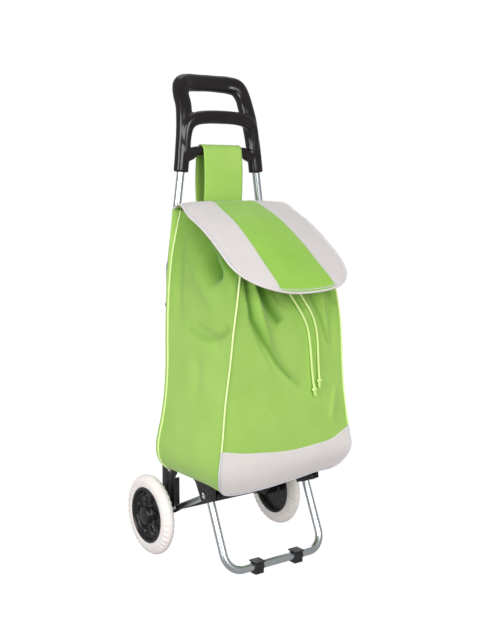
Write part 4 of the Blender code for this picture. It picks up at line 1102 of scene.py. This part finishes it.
even.factor = 0.5
even.iterations = 14
applied(handle)
work = bmesh.new()
work.from_mesh(handle.data)
for vert in work.verts:
    # The sockets end in a flat collar round each upright.
    if vert.co.z < 0.7585:
        vert.co.z = max(vert.co.z, 0.7552)
work.to_mesh(handle.data)
work.free()
handle.data.shade_smooth()
handle.data.materials.clear()
handle.data.materials.append(moulding)
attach(handle, "frame")
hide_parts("handle")


# ---------------------------------------------------------------- uprights and stand leg
# Bright plated tubes of 15 mm. The uprights lean in to the handle.
# One tube bent into a U makes the stand, which pivots in the front brackets. Fine drawing lines run along them.

def steel_finish(name, colour, roughness, streaks=1.0, dark=0.55):
    """Plated tube: long lines along its length, and faint cloudy patches."""
    made, tree, shader = finish_of(name, Metallic=1.0, Roughness=roughness)
    chart = add(tree, "ShaderNodeUVMap", {"uv_map": "cloth"}).outputs[0]
    long = add(tree, "ShaderNodeVectorMath", {"operation": "MULTIPLY"},
               {0: chart, 1: (900.0, 9.0, 1.0)}).outputs[0]
    lines = add(tree, "ShaderNodeTexNoise", None, {"Vector": long, "Scale": 1.0, "Detail": 3.0}).outputs[0]
    spots = add(tree, "ShaderNodeTexNoise", None, {"Vector": chart, "Scale": 40.0, "Detail": 4.0}).outputs[0]
    level = add(tree, "ShaderNodeMapRange", None,
                {0: lines, 1: 0.3, 2: 0.7, 3: roughness * 0.75, 4: roughness * 1.3})
    tree.links.new(level.outputs[0], shader.inputs["Roughness"])
    low = (*[c * dark for c in colour[:3]], 1)
    mix = maths(tree, "ADD", maths(tree, "MULTIPLY", lines, 0.6 * streaks),
                maths(tree, "MULTIPLY", spots, 0.5))
    tone = add(tree, "ShaderNodeMix", {"data_type": "RGBA"}, {0: mix, 6: low, 7: colour})
    tree.links.new(tone.outputs[2], shader.inputs["Base Color"])
    bump = add(tree, "ShaderNodeBump", None, {"Height": lines, "Distance": 0.00003, "Strength": 0.6})
    tree.links.new(bump.outputs[0], shader.inputs["Normal"])
    return made


bright_steel = steel_finish("bright_steel", srgb(226, 232, 235), 0.27, dark=0.62)
TUBE = 0.015
UPRIGHT_X = 0.117
BEND_Z = 0.565
for side, word in ((-1, "left"), (1, "right")):
    low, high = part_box("upright_" + word)
    points = []
    for z in (low.z, 0.545, 0.565, 0.585, 0.755, 0.790):
        share = max(0.0, (z - BEND_Z) / (SOCKET_Z - BEND_Z))
        close = {0.565: 0.0007, 0.585: 0.0002}.get(z, 0.0)
        points.append((side * (UPRIGHT_X + (SOCKET_X - UPRIGHT_X) * share - close), HANDLE_Y, z))
    path = even_path(smooth_path(points, 6), 0.008)
    outer = sweep("upright_" + word + "_tube", path, TUBE / 2, bright_steel, sides=40, capped=False)
    wall = outer.modifiers.new("wall", "SOLIDIFY")
    wall.thickness = 0.0012
    wall.offset = -1
    applied(outer)
    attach(outer, "frame")
    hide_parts("upright_" + word)

LEG_X, LEG_CORNER = 0.1157, 0.035
pivot = Vector((0, AXLE_Y - 0.142, 0.163))
foot_bar = Vector((0, AXLE_Y - 0.2085, 0.0135))
down = (foot_bar - pivot).normalized()
reach = (foot_bar - pivot).length
half = [(LEG_X, -0.006), (LEG_X, reach * 0.2), (LEG_X, reach * 0.4), (LEG_X, reach * 0.6)]
for i in range(13):
    a = math.radians(90 * i / 12)
    half.append((LEG_X - LEG_CORNER + LEG_CORNER * math.cos(a),
                 reach - LEG_CORNER + LEG_CORNER * math.sin(a)))
route = [Vector((x, 0, 0)) + pivot + down * s for x, s in half]
route += [Vector((-p.x, p.y, p.z)) for p in reversed(route)]
leg = sweep("stand_leg_tube", even_path(route, 0.004), TUBE / 2, bright_steel, sides=40, capped=False)
wall = leg.modifiers.new("wall", "SOLIDIFY")
wall.thickness = 0.0012
wall.offset = -1
applied(leg)
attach(leg, "stand")
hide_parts("stand_leg")


# ---------------------------------------------------------------- brackets, crossbar, axle and rivets
# Pressed plates in black enamel hold the axle, the stand and the bag's floor.
# The rear ones are riveted to the uprights, and a flat bar joins the uprights behind the bag.
# The link tubes run from the axle to the front brackets.

# Enamel that has worn thin along its corners: the mask compares the true normal with one rounded by a bevel.
worn, wants, gives = shader_group("corner_wear", [("Width", "Float"), ("Scale", "Float")],
                                  [("Mask", "Float")])
round_normal = add(worn, "ShaderNodeBevel", {"samples": 4}, {"Radius": wants["Width"]}).outputs[0]
true_normal = add(worn, "ShaderNodeNewGeometry").outputs["True Normal"]
meet = add(worn, "ShaderNodeVectorMath", {"operation": "DOT_PRODUCT"},
           {0: round_normal, 1: true_normal}).outputs["Value"]
place = add(worn, "ShaderNodeTexCoord").outputs["Object"]
patchy = add(worn, "ShaderNodeTexNoise", None,
             {"Vector": place, "Scale": wants["Scale"], "Detail": 6.0}).outputs[0]
corner = add(worn, "ShaderNodeMapRange", None, {0: meet, 1: 0.98, 2: 0.80}).outputs[0]
worn.links.new(maths(worn, "MULTIPLY", corner,
                     add(worn, "ShaderNodeMapRange", None, {0: patchy, 1: 0.45, 2: 0.65}).outputs[0]),
               gives["Mask"])


def hard_finish(name, dark, light, worn_to, roughness, metallic=0.0, relief=0.0001, scale=120.0, wear=0.0006):
    """Enamel, plastic or small plated parts: mottled colour, orange-peel bump and lighter corners."""
    made, tree, shader = finish_of(name, Metallic=metallic, Roughness=roughness)
    place = add(tree, "ShaderNodeTexCoord").outputs["Object"]
    mottle = add(tree, "ShaderNodeTexNoise", None,
                 {"Vector": place, "Scale": scale, "Detail": 5.0}).outputs[0]
    fine = add(tree, "ShaderNodeTexNoise", None,
               {"Vector": place, "Scale": scale * 12, "Detail": 2.0}).outputs[0]
    tone = add(tree, "ShaderNodeMix", {"data_type": "RGBA"}, {0: mottle, 6: dark, 7: light}).outputs[2]
    edge = add(tree, "ShaderNodeGroup", {"node_tree": worn}, {"Width": wear, "Scale": scale * 3}).outputs[0]
    tone = add(tree, "ShaderNodeMix", {"data_type": "RGBA"}, {0: edge, 6: tone, 7: worn_to}).outputs[2]
    tree.links.new(tone, shader.inputs["Base Color"])
    level = add(tree, "ShaderNodeMapRange", None,
                {0: mottle, 1: 0.3, 2: 0.7, 3: roughness * 0.8, 4: roughness * 1.25})
    tree.links.new(level.outputs[0], shader.inputs["Roughness"])
    both = maths(tree, "ADD", fine, mottle)
    bump = add(tree, "ShaderNodeBump", None, {"Height": both, "Distance": relief, "Strength": 0.4})
    tree.links.new(bump.outputs[0], shader.inputs["Normal"])
    return made


def dress(node, finish):
    """A CAD node keeps its shape and takes a finish."""
    obj = nodes[node]
    if not obj.data.materials:
        obj.data.materials.append(finish)
    for slot in obj.material_slots:
        slot.link = "OBJECT"
        slot.material = finish


black_enamel = hard_finish("black_enamel", srgb(20, 20, 22), srgb(34, 34, 37), srgb(96, 96, 100), 0.36)
black_rivet = hard_finish("black_rivet", srgb(26, 26, 28), srgb(42, 42, 45), srgb(120, 120, 122), 0.34,
                          scale=300.0)
plated = hard_finish("plated_fittings", srgb(176, 180, 184), srgb(216, 220, 222), srgb(240, 240, 240), 0.28,
                     metallic=1.0, scale=200.0)
# The axle is coloured a dark grey steel.
axle_steel = hard_finish("dark_axle_steel", srgb(58, 58, 62), srgb(92, 92, 98), srgb(150, 150, 150), 0.34,
                         metallic=1.0)
for side, word in ((-1, "left"), (1, "right")):
    for node in ("rear_bracket_", "front_bracket_"):
        plate = nodes[node + word].data.copy()
        work = bmesh.new()
        work.from_mesh(plate)
        bmesh.ops.remove_doubles(work, verts=work.verts, dist=1e-5)
        bmesh.ops.dissolve_limit(work, angle_limit=math.radians(2), verts=work.verts, edges=work.edges)
        pressed_mesh = bpy.data.meshes.new(node + word + "_pressed")
        work.to_mesh(pressed_mesh)
        work.free()
        pressed = bpy.data.objects.new(node + word + "_pressed", pressed_mesh)
        bpy.context.scene.collection.objects.link(pressed)
        rounding = pressed.modifiers.new("rounding", "BEVEL")
        rounding.width = 0.0004
        rounding.segments = 2
        rounding.limit_method = "ANGLE"
        rounding.angle_limit = math.radians(50)
        applied(pressed)
        pressed.data.shade_smooth()
        pressed.data.set_sharp_from_angle(angle=math.radians(35))
        pressed.data.materials.clear()
        pressed.data.materials.append(black_enamel)
        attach(pressed, "frame")
        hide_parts(node + word)
    for node in ("rear_rivet_lower_", "rear_rivet_upper_", "leg_pivot_", "leg_stop_", "link_rivet_",
                 "axle_spacer_"):
        dress(node + word, black_rivet)
    for node in ("axle_washer_", "axle_clip_", "crossbar_rivet_", "handle_screw_"):
        dress(node + word, plated)
dress("axle", axle_steel)
dress("rear_crossbar", black_enamel)

# The link tubes are painted dark near the axle and bright towards the front: painted shade and dark reflection.
link_steel_painted_shade, tree, shader = finish_of("link_steel_painted_shade", Metallic=0.85, Roughness=0.26)
place = add(tree, "ShaderNodeTexCoord").outputs["Object"]
parts = add(tree, "ShaderNodeSeparateXYZ", None, {0: place}).outputs
lines_map = add(tree, "ShaderNodeVectorMath", {"operation": "MULTIPLY"},
                {0: place, 1: (700.0, 40.0, 700.0)}).outputs[0]
lines = add(tree, "ShaderNodeTexNoise", None, {"Vector": lines_map, "Scale": 1.0, "Detail": 3.0}).outputs[0]
# The mask runs along the tube: painted shade and dark reflection towards the axle end.
fade = maths(tree, "ADD", parts[1], maths(tree, "MULTIPLY", lines, 0.03))
share = add(tree, "ShaderNodeMapRange", {"interpolation_type": "SMOOTHSTEP"},
            {0: fade, 1: AXLE_Y - 0.075, 2: AXLE_Y - 0.020, 3: 0.0, 4: 1.0}).outputs[0]
tone = add(tree, "ShaderNodeMix", {"data_type": "RGBA"},
           {0: share, 6: srgb(228, 233, 236), 7: srgb(44, 42, 46)})
tree.links.new(tone.outputs[2], shader.inputs["Base Color"])
bump = add(tree, "ShaderNodeBump", None, {"Height": lines, "Distance": 0.00004, "Strength": 0.6})
tree.links.new(bump.outputs[0], shader.inputs["Normal"])
for word in ("left", "right"):
    dress("link_tube_" + word, link_steel_painted_shade)


# ---------------------------------------------------------------- wheels
# Off-white foam tyres with soft lugs pressed into both shoulders, on dark moulded rims.
# Each rim is a dished disc with eight oval pockets, a raised lip outside and a cap over the axle's end.

WHEEL_X = 0.157
AXLE_Z = 0.080
LUGS = 40


def turned_wheel(name, side, profile, steps, finish, relief=None):
    """A profile of (radius, outward) turned round the wheel's axis.
    relief(turn, radius, out) gives what is added to the radius and to the outward place."""
    rows = []
    for i in range(steps):
        turn = 2 * math.pi * i / steps
        row = []
        for r, out in profile:
            more, push = relief(turn, r, out) if relief else (0, 0)
            radius = r + more
            place = (AXLE_Y + radius * math.cos(turn), AXLE_Z + radius * math.sin(turn))
            row.append(Vector((side * (WHEEL_X + out + push), *place)))
        rows.append(row)
    made = grid_piece(name, rows, finish, around=True, wrap=True, smooth=48)
    work = bmesh.new()
    work.from_mesh(made.data)
    bmesh.ops.remove_doubles(work, verts=work.verts, dist=1e-6)
    bmesh.ops.recalc_face_normals(work, faces=work.faces)
    work.to_mesh(made.data)
    work.free()
    return made


def round_profile(corners, step):
    """A closed profile with its straight runs cut into short ones."""
    made = []
    for (r0, a0), (r1, a1) in zip(corners, corners[1:] + corners[:1]):
        count = max(1, round(math.hypot(r1 - r0, a1 - a0) / step))
        for i in range(count):
            made.append((r0 + (r1 - r0) * i / count, a0 + (a1 - a0) * i / count))
    return made


foam, tree, shader = finish_of("foam_tyre", Roughness=0.62, Specular_IOR_Level=0.35, Subsurface_Weight=0.15,
                               Subsurface_Scale=0.004)
place = add(tree, "ShaderNodeTexCoord").outputs["Object"]
cells = add(tree, "ShaderNodeTexVoronoi", None, {"Vector": place, "Scale": 1400.0}).outputs[0]
cloud = add(tree, "ShaderNodeTexNoise", None, {"Vector": place, "Scale": 55.0, "Detail": 5.0}).outputs[0]
tone = add(tree, "ShaderNodeMix", {"data_type": "RGBA"},
           {0: cloud, 6: srgb(240, 230, 226), 7: srgb(252, 246, 243)})
tree.links.new(tone.outputs[2], shader.inputs["Base Color"])
level = add(tree, "ShaderNodeMapRange", None, {0: cloud, 1: 0.3, 2: 0.7, 3: 0.52, 4: 0.70}).outputs[0]
tree.links.new(level, shader.inputs["Roughness"])
both = maths(tree, "ADD", maths(tree, "MULTIPLY", cells, 0.25), cloud)
bump = add(tree, "ShaderNodeBump", None, {"Height": both, "Distance": 0.0005, "Strength": 0.35})
tree.links.new(bump.outputs[0], shader.inputs["Normal"])

dark_rim = hard_finish("dark_rim", srgb(20, 17, 20), srgb(36, 33, 36), srgb(84, 80, 84), 0.24, relief=0.0001,
                       scale=60.0)


def tread(turn, r, out):
    """Soft lugs in the shoulders, set half a step apart on the two sides."""
    shoulder = max(0.0, 1 - abs(abs(out) - 0.0100) / 0.0062) * soft_step(0.0660, 0.0735, r)
    wave = 0.5 + 0.5 * math.cos(LUGS * turn + (math.pi if out > 0 else 0))
    return -0.0013 * shoulder * wave ** 1.3, -math.copysign(0.0010, out) * shoulder * wave


outer = []
for r, a in ((0.0560, 0.0112), (0.0585, 0.0122), (0.0620, 0.0125), (0.0665, 0.0122), (0.0705, 0.0113),
             (0.0740, 0.0098), (0.0768, 0.0076), (0.0787, 0.0048), (0.0797, 0.0020), (0.0799, 0.0)):
    outer.append((r, a, 0))
dense = [(p.x, p.y) for p in smooth_path(outer, 3)]
tyre_profile = dense + [(r, -a) for r, a in reversed(dense[:-1])]
tyre_profile += [(0.0560, -0.0112 + 0.0224 * i / 8) for i in range(1, 8)]

rim_line = [(0.0044, 0.0124), (0.0120, 0.0124), (0.0138, 0.0118), (0.0150, 0.0095), (0.0163, 0.0060),
            (0.0180, 0.0045), (0.0300, 0.0034), (0.0440, 0.0030), (0.0462, 0.0036), (0.0480, 0.0062),
            (0.0498, 0.0100), (0.0512, 0.0119), (0.0528, 0.0124), (0.0548, 0.0120), (0.0557, 0.0108),
            (0.0557, -0.0108), (0.0546, -0.0115), (0.0520, -0.0112), (0.0500, -0.0080), (0.0485, -0.0012),
            (0.0460, -0.0010), (0.0180, -0.0010), (0.0128, -0.0040), (0.0124, -0.0280), (0.0044, -0.0280)]
rim_profile = round_profile(rim_line, 0.0011)
POCKETS = 8
POCKET_R, POCKET_LONG, POCKET_WIDE = 0.0326, 0.0126, 0.0074


def pockets(turn, r, out):
    """Eight oval pockets with a rolled lip, pressed in from the outside."""
    if out < 0.001 or not 0.0165 < r < 0.0475:
        return 0, 0
    step = 2 * math.pi / POCKETS
    off = ((turn / step) % 1 - 0.5) * step
    away = math.hypot((r * math.cos(off) - POCKET_R) / POCKET_LONG,
                      r * math.sin(off) / (POCKET_WIDE * (0.62 + 0.38 * soft_step(0.020, 0.042, r))))
    lip = 0.0016 * math.exp(-((away - 1.10) / 0.11) ** 2)
    return 0, lip - 0.0030 * (1 - soft_step(0.88, 1.0, away))


for side, word in ((-1, "left"), (1, "right")):
    tyre = turned_wheel("tyre_" + word + "_foam", side, tyre_profile, 240, foam, tread)
    rim = turned_wheel("wheel_rim_" + word + "_moulded", side, rim_profile, 256, dark_rim, pockets)
    cap_line = [(0.0001, 0.0190), (0.0060, 0.0189), (0.0110, 0.0184), (0.0150, 0.0173), (0.0172, 0.0158),
                (0.0179, 0.0140), (0.0179, 0.0130), (0.0165, 0.0129), (0.0001, 0.0129)]
    cap = turned_wheel("hub_cap_" + word + "_moulded", side, round_profile(cap_line, 0.0012), 72, dark_rim)
    for one, body, node, slot in ((tyre, "wheel_" + word, "tyre_" + word, "foam_tyre"),
                                  (rim, "wheel_" + word, "wheel_rim_" + word, "dark_plastic"),
                                  (cap, "frame", "hub_cap_" + word, "dark_plastic")):
        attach(one, body)
        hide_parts(node)


# ---------------------------------------------------------------- foot clips, loops, eyelets and base board
# Black plastic saddles snap over the stand's bar and touch the floor.
# Cloth loops hold the bag to the uprights.
# The cords pass through two plated eyelets, and a stiff board lies on the bag's floor.

black_plastic = hard_finish("black_plastic", srgb(22, 22, 24), srgb(36, 36, 39), srgb(70, 70, 74), 0.42,
                            scale=150.0)
board_fibre = hard_finish("board_fibre", srgb(44, 42, 40), srgb(70, 66, 62), srgb(90, 86, 82), 0.8,
                          scale=90.0)
loop_cloth = hard_finish("loop_cloth", srgb(24, 24, 26), srgb(44, 44, 48), srgb(60, 60, 64), 0.8, scale=900.0,
                         relief=0.0002)
dress("base_board", board_fibre)
for word in ("left", "right"):
    dress("foot_clip_" + word, black_plastic)
    dress("eyelet_" + word, plated)
    dress("frame_loop_" + word, loop_cloth)
